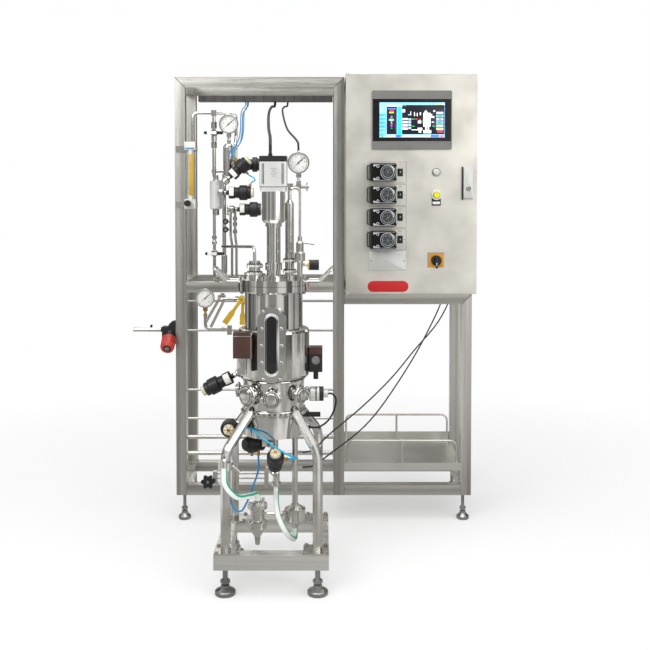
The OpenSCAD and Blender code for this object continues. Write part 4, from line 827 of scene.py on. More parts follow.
def front_plate(
    centre: np.ndarray, width: float, height: float, depth: float, corner: float = 0.0005
) -> Surface:
    """A plate that faces the front, its back at centre."""
    return plate(centre, X_AXIS, Z_AXIS, (width, height), depth, corner, depth * 0.3)


def flat_shape(outline: np.ndarray, depth: float) -> Surface:
    """An outline, anticlockwise seen from the front, drawn out by depth towards the front."""
    return Surface.tube_of(np.stack([outline, outline + depth * FRONT]))


def wrapped_label(
    base: np.ndarray, tip: np.ndarray, radius: float, span: Point, toward: Point, half: float = 48.0
) -> Surface:
    """A thin label round part of a cylinder: base + h * axis + r * (cos t * toward + sin t * side).

    Args:
        base: start of the cylinder's axis.
        tip: end of the cylinder's axis.
        radius: the cylinder's radius.
        span: lowest and highest h.
        toward: direction that the label's middle faces.
        half: half of the angle that it covers, in degrees.

    Returns:
        The surface.
    """
    axis = unit(tip - base)
    toward = unit(np.asarray(toward, float) - axis * np.dot(toward, axis))
    count, thick = 13, 0.0005
    t = np.radians(np.linspace(-half, half, count))
    r = np.repeat([radius + thick, radius], count)[:, None]
    spoke = spokes(np.concatenate([t, t[::-1]]), toward, np.cross(axis, toward))
    return Surface.tube_of(base + np.asarray(span)[:, None, None] * axis + r * spoke)


def highlight_crescent(centre: np.ndarray, radius: float, width: float, turn: float, half: float) -> Surface:
    """A flat crescent that faces the front, drawn as a painted highlight: an arc of width * cos(90 t / half)
    at t from its middle.
    """
    count, thick, thinnest = 15, 0.0003, 0.0001
    t = np.linspace(-1.0, 1.0, count)
    a = np.radians(turn + half * t)
    inner = radius - np.maximum(width * np.cos(t * np.pi / 2), thinnest)
    r = np.concatenate([inner, np.full(count, radius)])[:, None]
    places = centre + r * spokes(np.concatenate([a, a[::-1]]), X_AXIS, Z_AXIS)
    return flat_shape(places[::-1], thick)


@dataclass(frozen=True)
class Piece:
    """A piece of like surfaces: its name, its finish and the body that carries it."""

    name: str
    finish: Finish
    body: str

    def surfaces(self, stand: Stand) -> list[Surface]:
        """The piece's surfaces, which each kind of piece makes in its own way."""
        raise NotImplementedError

    def build(self, stand: Stand) -> None:
        """Makes the piece."""
        make_piece(self.name, self.surfaces(stand), self.finish, self.body)


@dataclass(frozen=True)
class Slabs(Piece):
    """Front plates: rows of x, y, z, width, height, depth and corner (0.5 unless given), in millimetres."""

    rows: Sequence[Point]

    def surfaces(self, stand: Stand) -> list[Surface]:
        """One plate for each row."""
        return [front_plate(stand.mm(row[:3]), *(np.array(row[3:]) * MM)) for row in self.rows]


@dataclass(frozen=True)
class Turning(Piece):
    """Turned parts of one profile, rows of radius and height, at one or more places, in millimetres."""

    axis: np.ndarray
    places: Sequence[Point]
    profile: Sequence[Point]
    sides: int = 40

    def surfaces(self, stand: Stand) -> list[Surface]:
        """One turned part at each place."""
        profile = np.array(self.profile) * MM
        return [turned(profile, foot, foot + self.axis, self.sides) for foot in stand.mm(self.places)]


@dataclass(frozen=True)
class Hoops(Piece):
    """Round rings about one axis, as rows of x, y, z, radius and thickness, in millimetres."""

    axis: np.ndarray
    rows: Sequence[Point]
    sides: int = 40

    def surfaces(self, stand: Stand) -> list[Surface]:
        """One ring for each row."""
        rows = [(stand.mm(row[:3]), np.array(row[3:]) * MM) for row in self.rows]
        return [ring(place, self.axis, *sizes, self.sides) for place, sizes in rows]


# Heights of the four pump heads
PUMPS = [1298 - 82 * i for i in range(4)]
# Long lines of the flow meter's scale are those with a 1
METER = [(1220 + 4.6 * k, int(k % 5 == 0)) for k in range(31)]
PIECES: tuple[Piece, ...] = (
    # Lamp, push button and their plates on the door
    Turning("lamp_lens", LENS, "door", FRONT, [(963, -27, 1299)],
            [(11.8, 3.5), (11.8, 9.5), (10.8, 12.5), (8.5, 14.2), (4, 15)]),
    Turning("lamp_collar", ZINC, "door", FRONT, [(963, -27, 1299)],
            [(15.8, 0), (15.8, 3.5), (14.5, 4.8), (12.2, 5), (12.2, 2)]),
    Turning("button_face", LEMON, "button", FRONT, [(963, -44, 1215)], disc_profile(10.1, 1.4)),
    Hoops("button_collar", FROST_AND_HIGHLIGHT, "door", Y_AXIS, [(963, -36, 1215, r, 1.9) for r in (14.2, 16.2)]),
    Slabs("button_tag", BLACK, "door", [(963, -27, 1189.5, 33.5, 26.5, 2.2, 2)]),
    Slabs("button_label", WHITE, "door", [(963, -29.1, 1186.5, 26.5, 9.5, 0.5)]),
    # Main switch, blank plate and badge
    # Painted shadow: a black plate behind the switch plate, showing at its left and top edges
    Slabs("switch_plate_shadow", BLACK, "door", [(962.2, -27.1, 975.8, 59.2, 54.6, 1.2)]),
    Slabs("switch_plate", ORANGE, "door", [(963, -27, 975, 57.2, 52.2, 5.2, 3)]),
    Slabs("knob_mark", WHITE, "switch_knob", [(963, -54.2, 962, 1.8, 12, 0.4)]),
    Slabs("knob_grip", BLACK, "switch_knob", [(963, -50, 958, 8.6, 22, 4, 2)]),
    Slabs("blank_cover", PALE, "door", [(783.5, -27, 974, 137.4, 72.4, 3.4, 2)]),
    Turning("plate_screws", ZINC, "door", FRONT, [(x, -30.4, 974) for x in (722.5, 844.5)],
            disc_profile(2.6, 1), 20),
    # Painted shade: dark slots on the two plate screws
    Slabs("plate_screw_slot_shades", INK_AND_SHADE, "door", [(x, -31.4, 974, 3.6, 0.8, 0.2) for x in (722.5, 844.5)]),
    Slabs("badge", BADGE, "door", [(786.5, -27.9, 879, 150.4, 40.4, 0.6, 19.5)]),
    # Door lock: the handle lies flat in its tray
    Slabs("lock_tray", PALE, "door", [(1078.5, -26.8, 1259, 37.2, 122.2, 7.5, 0.8)]),
    # Painted shadow: a black strip along the lock tray's left edge
    Slabs("lock_shadow_gap", INK_AND_SHADE, "door", [(1058.5, -26.8, 1258.5, 4, 122.2, 10.8)]),
    Slabs("handle_cover", PALE, "handle", [(1078.5, -39, 1261.5, 35, 116, 8.4, 0.8)]),
    Turning("lock_rim", ZINC, "handle", FRONT, [(1078, -47.4, 1239)],
            [(9.8, 0), (9.8, 1.6), (8.5, 2.6), (6, 2.6), (6, 1.8)]),
    # Painted shade: a dark key slot in the lock
    Slabs("lock_slot_shade", INK_AND_SHADE, "handle", [(1078, -49.3, 1239, 1.6, 7, 0.4)]),
    # Painted shadow lines in the gaps round the pump plates, wells round the rotors, and prints at the rocker
    # switches
    Slabs("plate_gap_shadows", BEZEL, "door",
          [(783.5, -26.8, z + up, 138.5, 1.2, 1.2) for z in PUMPS for up in (-38.4, 38.4)]
          + [(852.7, -26.8, z, 1.2, 77.5, 1.2) for z in PUMPS]),
    Hoops("pump_wells", BLACK, "door", Y_AXIS, [(782, -78, z, 22.7, 2.5) for z in PUMPS]),
    Slabs("rocker_marks", WHITE, "door", [(830, -39.2, z + 1.5, 1.8, 7, 0.4) for z in PUMPS]),
    Slabs("switch_prints", INK_AND_SHADE, "door",
          [(x, -30.1, z + 30.5, 2.8, 1.6, 0.2) for z in PUMPS for x in (826, 830, 834)]
          + [(845.5, -30.1, z, 4, 1.2, 0.2) for z in PUMPS]),
    # Flow meter
    Slabs("meter_scale", SCALE, "stand", [(70, -71.4, 1289, 13.8, 150, 0.8)]),
    Slabs("meter_lines", INK_AND_SHADE, "stand", [(59.2 - 0.8 * b, -71.6, z, 5.2 + 1.8 * b, 1, 0.3) for z, b in METER]),
    Slabs("meter_band", BLUE_TUBE, "stand", [(65, -74.1, 1384.5, 34, 5, 0.4)]),
    Slabs("meter_rails", PIPE, "stand", [(x, -66, 1290, 2.2, 180.5, 6) for x in (50.5, 80.5)]),
    Slabs("meter_foot", PALE, "stand", [(65, -74.1, 1183.5, 34, 35, 0.4)]),
    Turning("meter_knob", BLACK, "stand", FRONT, [(58, -74.2, 1186)],
            [(10.4, 0), (11.8, 3), (11.8, 15.5), (10, 20)], 18),
    # Probe head, motor and lantern of the vessel
    Turning("probe_housing", SILVER, "stand", X_AXIS, [(505, -493, 582)],
            [(20.5, -1), (23.2, 2), (23.2, 18), (21.5, 20), (23.2, 22), (23.2, 30), (20, 36), (20, 44.6)],
            24),
    Turning("probe_tail", SILVER, "stand", X_AXIS, [(505, -493, 582)],
            [(12.3, 44), (12.3, 57.5), (9, 58.5)], 24),
    Turning("lantern_sleeve", POLISHED, "stand", Z_AXIS, [(390, -493, 1138)],
            [(36.2, 0), (37.3, 1.2), (37.3, 98.5), (36.2, 99.5)], 64),
    # Painted shade: dark lines where the motor has grooves
    Slabs("motor_groove_shades", INK_AND_SHADE, "stand",
          [(390 + x, -536.1, 1284, 1.6, 64, 0.3) for x in (-33.5, -28.5, 28.5, 33.5)]),
    Slabs("motor_plate_lines", BEZEL, "stand",
          [(392 + 3 * (k % 2), -536.1, 1301 - 5 * k, 20 - 4 * (k % 3), 0.9, 0.2) for k in range(6)]),
    Slabs("left_box_band", PIPE, "stand",
          [(300, -625.7, 786, 56.2, 2.4, 0.6), (327.2, -625.7, 757.5, 2.2, 79, 0.6)]),
    Slabs("left_box_foot", PIPE, "stand", [(298, -621.1, 693, 28.8, 49, 0.6)]),
    Hoops("valve_band", YELLOW, "stand", X_AXIS, [(502.5, -513, 996, 15, 1.8)]),
    # Small wheels by the column, star wheel and supply pipe
    Hoops("small_wheel_rims", BLACK, "stand", Y_AXIS,
          [(200, -128, z, 7.2, 3.3) for z in (1121.5, 1092.4)], 32),
    Turning("star_wheel_hub", ZINC, "star_wheel", FRONT, [(123, -52, 158)], disc_profile(5.5, 1.2), 24),
    Turning("supply_pipe_skin", PIPE, "stand", X_AXIS, [(-160, 19, 713)],
            [(7, 0), (8.3, 1), (8.3, 55.2), (8.9, 55.8), (8.9, 102)]),
)

ROWS = range(4)
# Pages of the screen: piece, finish and tiles. A tile is its layer, its place from the screen's top
# left corner (right, then down), its width and its height, in millimetres.
PAGES: tuple[tuple[str, Finish, list[Point]], ...] = (
    ("page", lit("pale_blue", "#7fc4f2", "#93cdf4"), [(0, 0, 0, 238, 127)]),
    ("column", lit("sky", "#3f9fe8", "#63b4ef"), [(1, 0.5, 40 + 14 * i, 23, 11) for i in range(6)]),
    ("mimic", lit("night", "#11121c", "#171926"), [(1, 26, 15, 37, 101), (1, 82, 9, 155, 107)]),
    ("scale", lit("cyan", "#22cdea", "#3ad6ee"), [(1, 65, 15, 15, 105)]),
    ("white", lit("white", "#f0f4fa", "#dfe8f6"), [
        (2, 160, 38, 26, 50), (2, 167, 88, 14, 14), (2, 160, 101, 29, 11), (2, 139, 92, 17, 9),
        (2, 143, 101, 9, 9),
        *[(2, 83, 57 + 11.5 * i, 20, 7) for i in ROWS],
        (1, 26, 9, 70, 5), (1, 22, 118.5, 36, 7), (1, 82, 118.5, 104, 7), (1, 225, 2, 12, 7),
        (2, 82, 25, 11, 11), (2, 117, 98, 36, 3), (2, 112, 33, 3, 12), (2, 126, 35, 3, 14),
        (2, 136, 38, 3, 12), (2, 147, 36, 4, 10), (2, 104, 44, 12, 2), (2, 188, 50, 12, 6),
        (2, 140, 66, 12, 10), (2, 190, 70, 9, 3), (2, 196, 28, 7, 6), (2, 188, 42, 4, 10),
    ]),
    ("lilac", lit("lilac", "#a3b9ee", "#b7c8f2"), [
        *[(2, 207, 34 + 11.6 * i, 26, 8.5) for i in range(6)],
        *[(2, 105, 58 + 10.5 * i, 10, 7.5) for i in ROWS],
        (2, 34, 61, 18, 5.5),
    ]),
    ("blue", lit("blue", "#3d57da", "#4e68e2"),
     [(2, 30, 20, 29, 6), (2, 58, 118.5, 20, 7), (2, 186, 118.5, 32, 7)]),
    ("green", lit("green", "#27a64c", "#38b35c"), [
        (3, 210, 46.5, 20, 6.5), (3, 210, 70, 20, 6), (2, 38, 54, 10, 4.5), (3, 87, 59.5, 12, 2),
        (3, 116, 59, 12, 3), (3, 116, 85, 12, 3), (3, 112, 36, 5, 3), (3, 156, 64, 4, 4),
        (3, 6, 118, 7, 8), (3, 41, 92, 6, 3), (3, 193, 84, 8, 4),
    ]),
    ("red", lit("red", "#d4272a", "#dd3b3c"), [
        (3, 210, 103, 20, 6.5), (2, 37, 28, 15, 4), (3, 221, 119.5, 14, 5), (3, 130, 46, 8, 3),
        (3, 129, 59, 10, 3), (3, 144, 60, 7, 4), (3, 197, 29, 5, 3),
    ]),
    ("lime", lit("lime", "#b6cf28", "#c4da3c"), [
        (3, 210, 92.5, 20, 6), (2, 35, 34, 17, 5), (2, 207, 3, 13, 5.5), (3, 87, 71, 12, 2),
        (3, 87, 94, 12, 2), (3, 41, 69, 5, 5), (3, 158, 70, 3, 5),
    ]),
    ("violet", lit("violet", "#b53fc4", "#c353d0"), [
        (3, 217, 58.5, 7, 6), (2, 41, 48, 6, 4.5), (2, 41, 76, 6, 6), (3, 87, 82.5, 12, 2),
        (3, 172, 90, 6, 9), (3, 40, 84, 7, 4),
    ]),
)
# The vessel's tapered top on the screen: right and down, in millimetres
SCREEN_CONE = ((160, 45), (178, 45), (173, 32), (169, 28), (165, 32))


@dataclass
class OperatorPanel:
    """The lit mimic page of the operator panel: its top left corner and layer height in millimetres."""

    stand: Stand
    left: float = 753.8
    top: float = 1553.0
    glass_y: float = -35.1
    layer: float = 0.12

    def tile(self, depth: int, x: float, down: float, width: float, height: float) -> Surface:
        """One tile on the given layer over the glass."""
        centre = (self.left + x + width / 2, self.glass_y - self.layer * depth, self.top - down - height / 2)
        return front_plate(self.stand.mm(centre), width * MM, height * MM, self.layer * MM)

    def build(self) -> None:
        """Makes the page, colour by colour, with the vessel's cone among the white tiles."""
        y = self.glass_y - 2 * self.layer
        cone = self.stand.mm([(self.left + x, y, self.top - down) for x, down in SCREEN_CONE])
        for name, finish, tiles in PAGES:
            extra = [flat_shape(cone, self.layer * MM)] if name == "white" else []
            make_piece(f"screen_{name}", extra + [self.tile(*tile) for tile in tiles], finish, "door")


@dataclass
class PumpHeads:
    """Rims, painted highlights, tube clamps and rotor faces of the four pump heads; places are in
    millimetres.
    """

    stand: Stand
    x: float = 782
    y: float = -78

    def rims(self, z: float) -> list[Surface]:
        """Bright rims and small rings of the cover at height z, with painted highlights: two crescents, light
        lines along its top and bottom edges, and light triangles at its left corners.
        """
        mm = self.stand.mm
        hub = mm((self.x, self.y, z))
        highlight_centre = hub + 0.0023 * FRONT
        made = [ring(hub, Y_AXIS, 0.0258, 0.0008), ring(hub, Y_AXIS, 0.0196, 0.0005)]
        made += [ring(mm((745.5, self.y, z + up)), Y_AXIS, 0.0045, 0.0009, 24) for up in (21.5, -22.5)]
        # Painted highlights: two bright crescents on the cover
        made += [highlight_crescent(highlight_centre, 0.0250, 0.0030, 46, 32), highlight_crescent(highlight_centre, 0.0214, 0.0024, 18, 20)]
        # Painted highlights: light lines along the cover's top and bottom edges, and light triangles at its
        # left corners
        for s in (-1, 1):
            made.append(front_plate(mm((768, self.y, z + s * 28.8)), 0.080, 0.0009, 0.0003))
            corner = ((730, 26.5), (744, 26.5), (730, 20.5))[::s]
            made.append(flat_shape(mm([(x, self.y, z + s * up) for x, up in corner]), 0.0003))
        return made

    def clamps(self, z: float) -> list[Surface]:
        """Two screws at the left of the head at height z, each with its bent lever."""
        made = []
        bend = ((720.5, -34, 22.5), (712, -36, 26.5), (709.5, -34, 14), (710.5, -32, 0))
        for s in (-1, 1):
            spot = self.stand.mm((720.5, -30, z + s * 22.5))
            route = self.stand.mm([(x, y, z + s * up) for x, y, up in bend])
            made += [nut(spot, spot + FRONT, 0.0075, 0.006), swept(smooth_route(route, 12), 0.0016, 8)]
        return made

    def rotor(self, number: int, z: float) -> None:
        """A dark face with six narrow bright ribs and a screw, on one rotor."""
        low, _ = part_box(f"pump_rotor_{number}")
        face = self.stand.mm((self.x, 0, z))
        face[1] = low.y - 0.0002
        ribs = [nut(face + 0.0004 * FRONT, face + FRONT, 0.006, 0.002)]
        for a in circle(6) + 0.35 * (number - 1):
            out, up = face_axes(a)
            spot = face + 0.0112 * out + 0.0005 * FRONT
            ribs.append(plate(spot, out, up, (0.0110, 0.0013), 0.0008, 0.0006))
        make_piece(f"rotor_face_{number}", disc(face, FRONT, 0.0194, 0.0006), BLACK, f"rotor_{number}")
        make_piece(f"rotor_ribs_{number}", ribs, ZINC, f"rotor_{number}")

    def build(self) -> None:
        """Makes the rims, painted highlights and clamps on the door, and a face on each rotor."""
        for number, z in enumerate(PUMPS, 1):
            self.rotor(number, z)
        make_piece("pump_rims_and_highlights", [part for z in PUMPS for part in self.rims(z)], FROST_AND_HIGHLIGHT, "door")
        make_piece("pump_tube_clamps", [part for z in PUMPS for part in self.clamps(z)], BLACK, "door")


@dataclass
class Dial:
    """The face of a dial gauge: white dial, scale, numbers and pointer, in a case that faces the front."""

    stand: Stand
    name: str
    x: float
    z: float
    recess_y: float
    stem_y: float
    union: Finish
    radius: float = 0.0308
    reading: float = 42.0

    def marks(self, centre: np.ndarray) -> list[Surface]:
        """The scale: forty short lines and eleven long ones over 270 degrees, and its ring."""
        lines = [ring(centre, Y_AXIS, self.radius * 0.885, 0.00025, 60, 6)]
        for k, a in enumerate(np.radians(np.linspace(225, -45, 51))):
            out, up = face_axes(a)
            length, width = (0.0046, 0.0008) if k % 5 == 0 else (0.0026, 0.0004)
            spot = centre + (self.radius * 0.88 - length / 2) * out
            lines.append(plate(spot, out, up, (length, width), 0.0002, 0.0001))
        return lines

    def figures(self, centre: np.ndarray) -> list[Surface]:
        """The numbers 0 to 10 in steps of 2, as flat type turned to the front."""
        angles = np.radians(np.linspace(225, -45, 6))
        spots = centre + self.radius * 0.6 * spokes(angles, X_AXIS, Z_AXIS)
        return [figure_shape(str(2 * k), spot, 0.0062) for k, spot in enumerate(spots)]

    def pointer(self, centre: np.ndarray) -> list[Surface]:
        """The pointer: a blade that tapers to its tip, with a short tail and a hub."""
        out, up = face_axes(math.radians(self.reading))
        lower = [(-0.013, -0.0006), (0.0, -0.0009), (0.014, -0.0016)]
        blade = np.array([*lower, (0.0225, 0.0), *[(along, -half) for along, half in lower[::-1]]])
        outline = centre + blade[:, :1] * out + blade[:, 1:] * up
        return [flat_shape(outline, 0.0003), disc(centre, FRONT, 0.0022, 0.0009, 24)]

    def build(self) -> None:
        """Makes the dial's pieces on the stand."""
        face = self.stand.at(self.x, self.recess_y, self.z)
        make_piece(f"{self.name}_face", disc(face, FRONT, self.radius, 0.0005, 60), DIAL)
        print_on = self.marks(face + 0.0005 * FRONT) + self.figures(face + 0.0006 * FRONT)
        make_piece(f"{self.name}_scale", print_on, INK_AND_SHADE)
        make_piece(f"{self.name}_pointer", self.pointer(face + 0.0022 * FRONT), INK_AND_SHADE)
        stem = self.stand.at(self.x, self.stem_y, self.z - 0.035)
        nuts = ((0.0125, 0.0150, 0.0125), (0.031, 0.0125, 0.009))
        union = [nut(stem - drop * Z_AXIS, stem, flats, height) for drop, flats, height in nuts]
        make_piece(f"{self.name}_union", union, self.union)


def figure_shape(text: str, centre: np.ndarray, height: float) -> Surface:
    """Raised type that reads from the front.

    Args:
        text: the figures.
        centre: their middle.
        height: their height.

    Returns:
        The surface.
    """
    curve = bpy.data.curves.new("type", "FONT")
    curve.body, curve.size, curve.extrude = text, height, 0.0001
    curve.align_x, curve.align_y, curve.resolution_u = "CENTER", "CENTER", 3
    holder = bpy.data.objects.new("type", curve)
    mesh = bpy.data.meshes.new_from_object(holder)
    flat = np.array([v.co for v in mesh.vertices])
    polygons = [list(p.vertices) for p in mesh.polygons]
    bpy.data.objects.remove(holder)
    bpy.data.curves.remove(curve)
    bpy.data.meshes.remove(mesh)
    return Surface(centre + flat @ np.stack([X_AXIS, Z_AXIS, FRONT]), polygons)


@dataclass(frozen=True)
class Actuator:
    """Axis of one valve actuator in the stand's millimetres, and which marks it carries."""

    base: tuple[float, float, float]
    tip: tuple[float, float, float]
    label: bool = True
    cap: bool = True
    spoked: bool = False


ACTUATORS = (
    Actuator((214, -110, 1280), (282, -110, 1342)),
    Actuator((262, -60, 1326), (322, -60, 1326), False, False),
    Actuator((201, -110, 1224), (298, -110, 1224)),
    Actuator((240, -110, 1164), (333, -110, 1164)),
    Actuator((258, -438, 630), (156, -438, 578)),
    Actuator((254, -516, 488), (254, -588, 488), False, True, True),
    Actuator((360, -512, 427), (300, -556, 434), True, False),
    Actuator((396, -536, 354), (400, -592, 419), False, True, True),
)
# Air fittings: actuator, share of its length, direction, reach from its axis and radius in millimetres
FITTINGS = (
    (0, 0.6, (-62, 0, 68), 36, 7.0), (0, 0.6, (62, 0, -68), 34, 4.5), (2, 0.72, (0.5, 0, 0.87), 34, 4.5),
    (5, 0.62, (1, 0, 0), 48, 4.5), (7, 0.6, (1, 0, 0), 38, 4.5), (6, 0.3, (0, 0, -1), 38, 4.5),
    (5, 0.62, (0, 0, -1), 36, 4.5), (6, 0.62, (0, 0, -1), 36, 4.5),
)


@dataclass
class ValveDress:
    """Labels, end caps and brass fittings of the actuators."""

    stand: Stand
    radius: float = 0.027
    fitting_foot: float = 0.017

    def arms(self, tip: np.ndarray, axis: np.ndarray) -> list[Surface]:
        """Six spokes and a hub on an actuator's end."""
        made = [disc(tip + 0.001 * axis, axis, 0.0052, 0.0022, 24)]
        for out in spokes(circle(6), *across(axis)):
            foot = tip + 0.010 * out + 0.0008 * axis
            made.append(plate(foot, out, np.cross(axis, out), (0.010, 0.0022), 0.0014, 0.001))
        return made

    def fitting(self, number: int, share: float, toward: Point, reach: float, size: float) -> list[Surface]:
        """A brass stub with a nut and a rolled end; reach and size are in millimetres."""
        base, tip = self.stand.mm((ACTUATORS[number].base, ACTUATORS[number].tip))
        out, size, length = unit(toward), size * MM, reach * MM - self.fitting_foot
        start = base + (tip - base) * share + out * self.fitting_foot
        end = start + out * length
        return [
            turned([(size + 0.0003, 0.0), (size + 0.0003, length)], start, end, 24),
            nut(start + out * length * 0.3, end, size * 2.2, length * 0.3),
            ring(end, out, size * 0.8, size * 0.28, 24, 8),
        ]

    def build(self) -> None:
        """Makes the labels, caps, spokes and fittings."""
        labels, caps, arms = [], [], []
        r = self.radius
        for one in ACTUATORS:
            base, tip = self.stand.mm((one.base, one.tip))
            length = float(np.linalg.norm(tip - base))
            axis = unit(tip - base)
            if one.label:
                toward = (0.25, -1.0, 0.35) if abs(axis[1]) < 0.5 else (1.0, -0.4, 0.6)
                span = (length * 0.12, length * 0.29)
                labels.append(wrapped_label(base, tip, r * 0.8 + 0.0002, span, toward))
            if one.cap:
                side = ((0.63, length * 0.905), (0.63, length * 0.99))
                rise = (*side, (0.55, length + 0.0012), (0.3, length + 0.002))
                caps.append(turned([(r * share, height) for share, height in rise], base, tip))
            if one.spoked:
                arms += self.arms(tip, axis)
        make_piece("actuator_labels", labels, WHITE)
        make_piece("actuator_caps", caps, CREAM)
        make_piece("actuator_spokes", arms, BRASS)
        make_piece("air_fittings", [part for row in FITTINGS for part in self.fitting(*row)], BRASS)


# Side ports: direction from the front in degrees, then height, radius and reach from the wall in millimetres
PORTS = ((-1, 588, 22, 38), (-42, 594, 29, 30), (48, 594, 21, 32), (90, 582, 15, 18), (-90, 600, 14, 24))
# Painted shade at the seams round the vessel: height and radius
SEAM_SHADES = ((0.9340, 0.1141), (0.7965, 0.0924), (0.5300, 0.0990))
# Washer and dome of the sight glass nuts: radius and height
WASHER = ((0.0066, 0.0), (0.0066, 0.0011), (0.0052, 0.0013))
DOME = ((0.0046, 0.004), (0.0044, 0.0055), (0.0026, 0.0068))
# Clamped lid ports: x and y from the axis, radius, and heights of the clamps over the lid
LID_PORTS = ((-0.060, -0.006, 0.0252, (0.016, 0.040)), (0.050, 0.026, 0.0212, (0.020, 0.054)))


@dataclass
class VesselDress:
    """Rims, nuts, clamps, painted shade at the seams, and covers on and round the vessel."""

    stand: Stand
    x: float = 0.390
    y: float = -0.493
    wall: float = 0.097
    glass_y: float = -0.622
    glass_z: float = 0.758
    lid_z: float = 0.952
    flange_z: float = 0.5245
    flange_radius: float = 0.1015
    flange_nuts: int = 18

    def on_axis(self, z: float) -> np.ndarray:
        """The point of the vessel's axis at height z."""
        return self.stand.at(self.x, self.y, z)

    def port(self, angle: float, z: float, r: float, reach: float) -> tuple[list[Surface], list[Surface]]:
        """A clamp ring, its swivel bolt and nut, and dark rings and lines of painted shade at the seams of
        one port.

        Args:
            angle: direction of the port from the front, in degrees.
            z: its height in millimetres.
            r: its radius in millimetres.
            reach: how far it stands out of the wall in millimetres.

        Returns:
            The bright surfaces, and the dark ones of painted shade.
        """
        a = math.radians(angle)
        out, side = spokes(a, FRONT, X_AXIS), spokes(a, X_AXIS, Y_AXIS)
        cap = self.on_axis(z * MM) + (self.wall + reach * MM) * out
        clamp = cap - 0.0085 * out
        size = r * MM
        hinge = clamp + (size + 0.004) * unit(side + 1.2 * Z_AXIS)
        bright = [
            ring(clamp, out, size + 0.0030, 0.0036),
            ring(cap - 0.0040 * out, out, size - 0.0022, 0.0024),
            ring(cap + 0.0006 * out, out, size * 0.5, 0.0013),
            turned([(size * 0.72, -0.001), (size * 0.72, 0.0012), (size * 0.6, 0.002)], cap, cap + out),
            turned([(0.0028, -0.008), (0.0028, 0.008)], hinge, hinge + side, 14),
            nut(hinge + 0.006 * side, hinge + side, 0.009, 0.006),
            nut(hinge - 0.012 * side, hinge + side, 0.008, 0.005),
        ]
        dark = [
            ring(cap, out, size * 0.8, 0.0009),
            ring(cap - 0.0125 * out, out, size + 0.0020, 0.0012),
            ring(cap - 0.0050 * out, out, size + 0.0006, 0.0012),
            ring(cap + 0.0008 * out, out, size * 0.42, 0.0006),
        ]
        for way in (-1, 1):
            lug = clamp + way * (size + 0.0085) * side
            bright.append(plate(lug, side, Z_AXIS, (0.0085, 0.0150), 0.0090, 0.0020))
            dark.append(plate(lug + 0.0046 * out, side, Z_AXIS, (0.0087, 0.0020), 0.0006))
        return bright, dark

    def sight_nuts(self) -> list[Surface]:
        """Domed nuts on the sight glass frame, in two columns that close in at both ends."""
        nuts = []
        for way in (-1, 1):
            for i in range(-2, 3):
                place = (self.x + way * (31 - 1.2 * i * i) * MM, self.glass_y, self.glass_z + 52 * i * MM)
                seat = self.stand.at(*place)
                nuts += [turned(profile, seat, seat + FRONT, 24) for profile in (WASHER, DOME)]
        return nuts

    def sight_loop(self, half: float, thick: float) -> Surface:
        """A rounded bead along the long rim of the sight glass, half wide each way and thick in radius."""
        straight, proud, count = 0.0735, 0.0004, 48
        t = np.linspace(0, 2 * np.pi, count + 1)[:-1]
        height = half * np.sin(t) + straight * np.sign(np.sin(t))
        loop = np.stack([half * np.cos(t), np.zeros(count), height], axis=1)
        away = loop / np.linalg.norm(loop, axis=1)[:, None]
        rim = self.stand.at(self.x, self.glass_y - proud, self.glass_z) + loop
        around = thick * spokes(circle(8), away[:, None, :], Y_AXIS)
        return Surface.tube_of(rim[:, None, :] + around, closed=True)

    def lid_port(self, dx: float, dy: float, r: float, heights: Point) -> tuple[list[Surface], list[Surface]]:
        """Two clamp rings with their bolts on a lid port, and a dark ring of painted shade at the seam over
        each.
        """
        bright, dark = [], []
        for h in heights:
            middle = self.stand.at(self.x + dx, self.y + dy, self.lid_z + h)
            bolt = middle + (r + 0.004) * unit((-0.5, -1.0, 0.0))
            bright += [
                ring(middle, Z_AXIS, r, 0.0022),
                nut(bolt - 0.008 * X_AXIS, bolt + X_AXIS, 0.008, 0.006),
                turned([(0.0024, -0.010), (0.0024, 0.012)], bolt, bolt + X_AXIS, 12),
            ]
            dark.append(ring(middle + 0.007 * Z_AXIS, Z_AXIS, r - 0.0018, 0.0006))
        return bright, dark

    def flange_nut(self, number: int) -> tuple[list[Surface], list[Surface]]:
        """One nut of the low flange's front half, and a dark ring of painted shade at the end of its stud."""
        a = math.radians(-90 + 180 * (number + 0.5) / self.flange_nuts)
        seat = self.on_axis(self.flange_z) + self.flange_radius * spokes(a, FRONT, X_AXIS)
        stud = ring(seat + 0.0118 * Z_AXIS, Z_AXIS, 0.0024, 0.0006, 12, 6)
        return [nut(seat, seat + Z_AXIS, 0.0075, 0.011)], [stud]

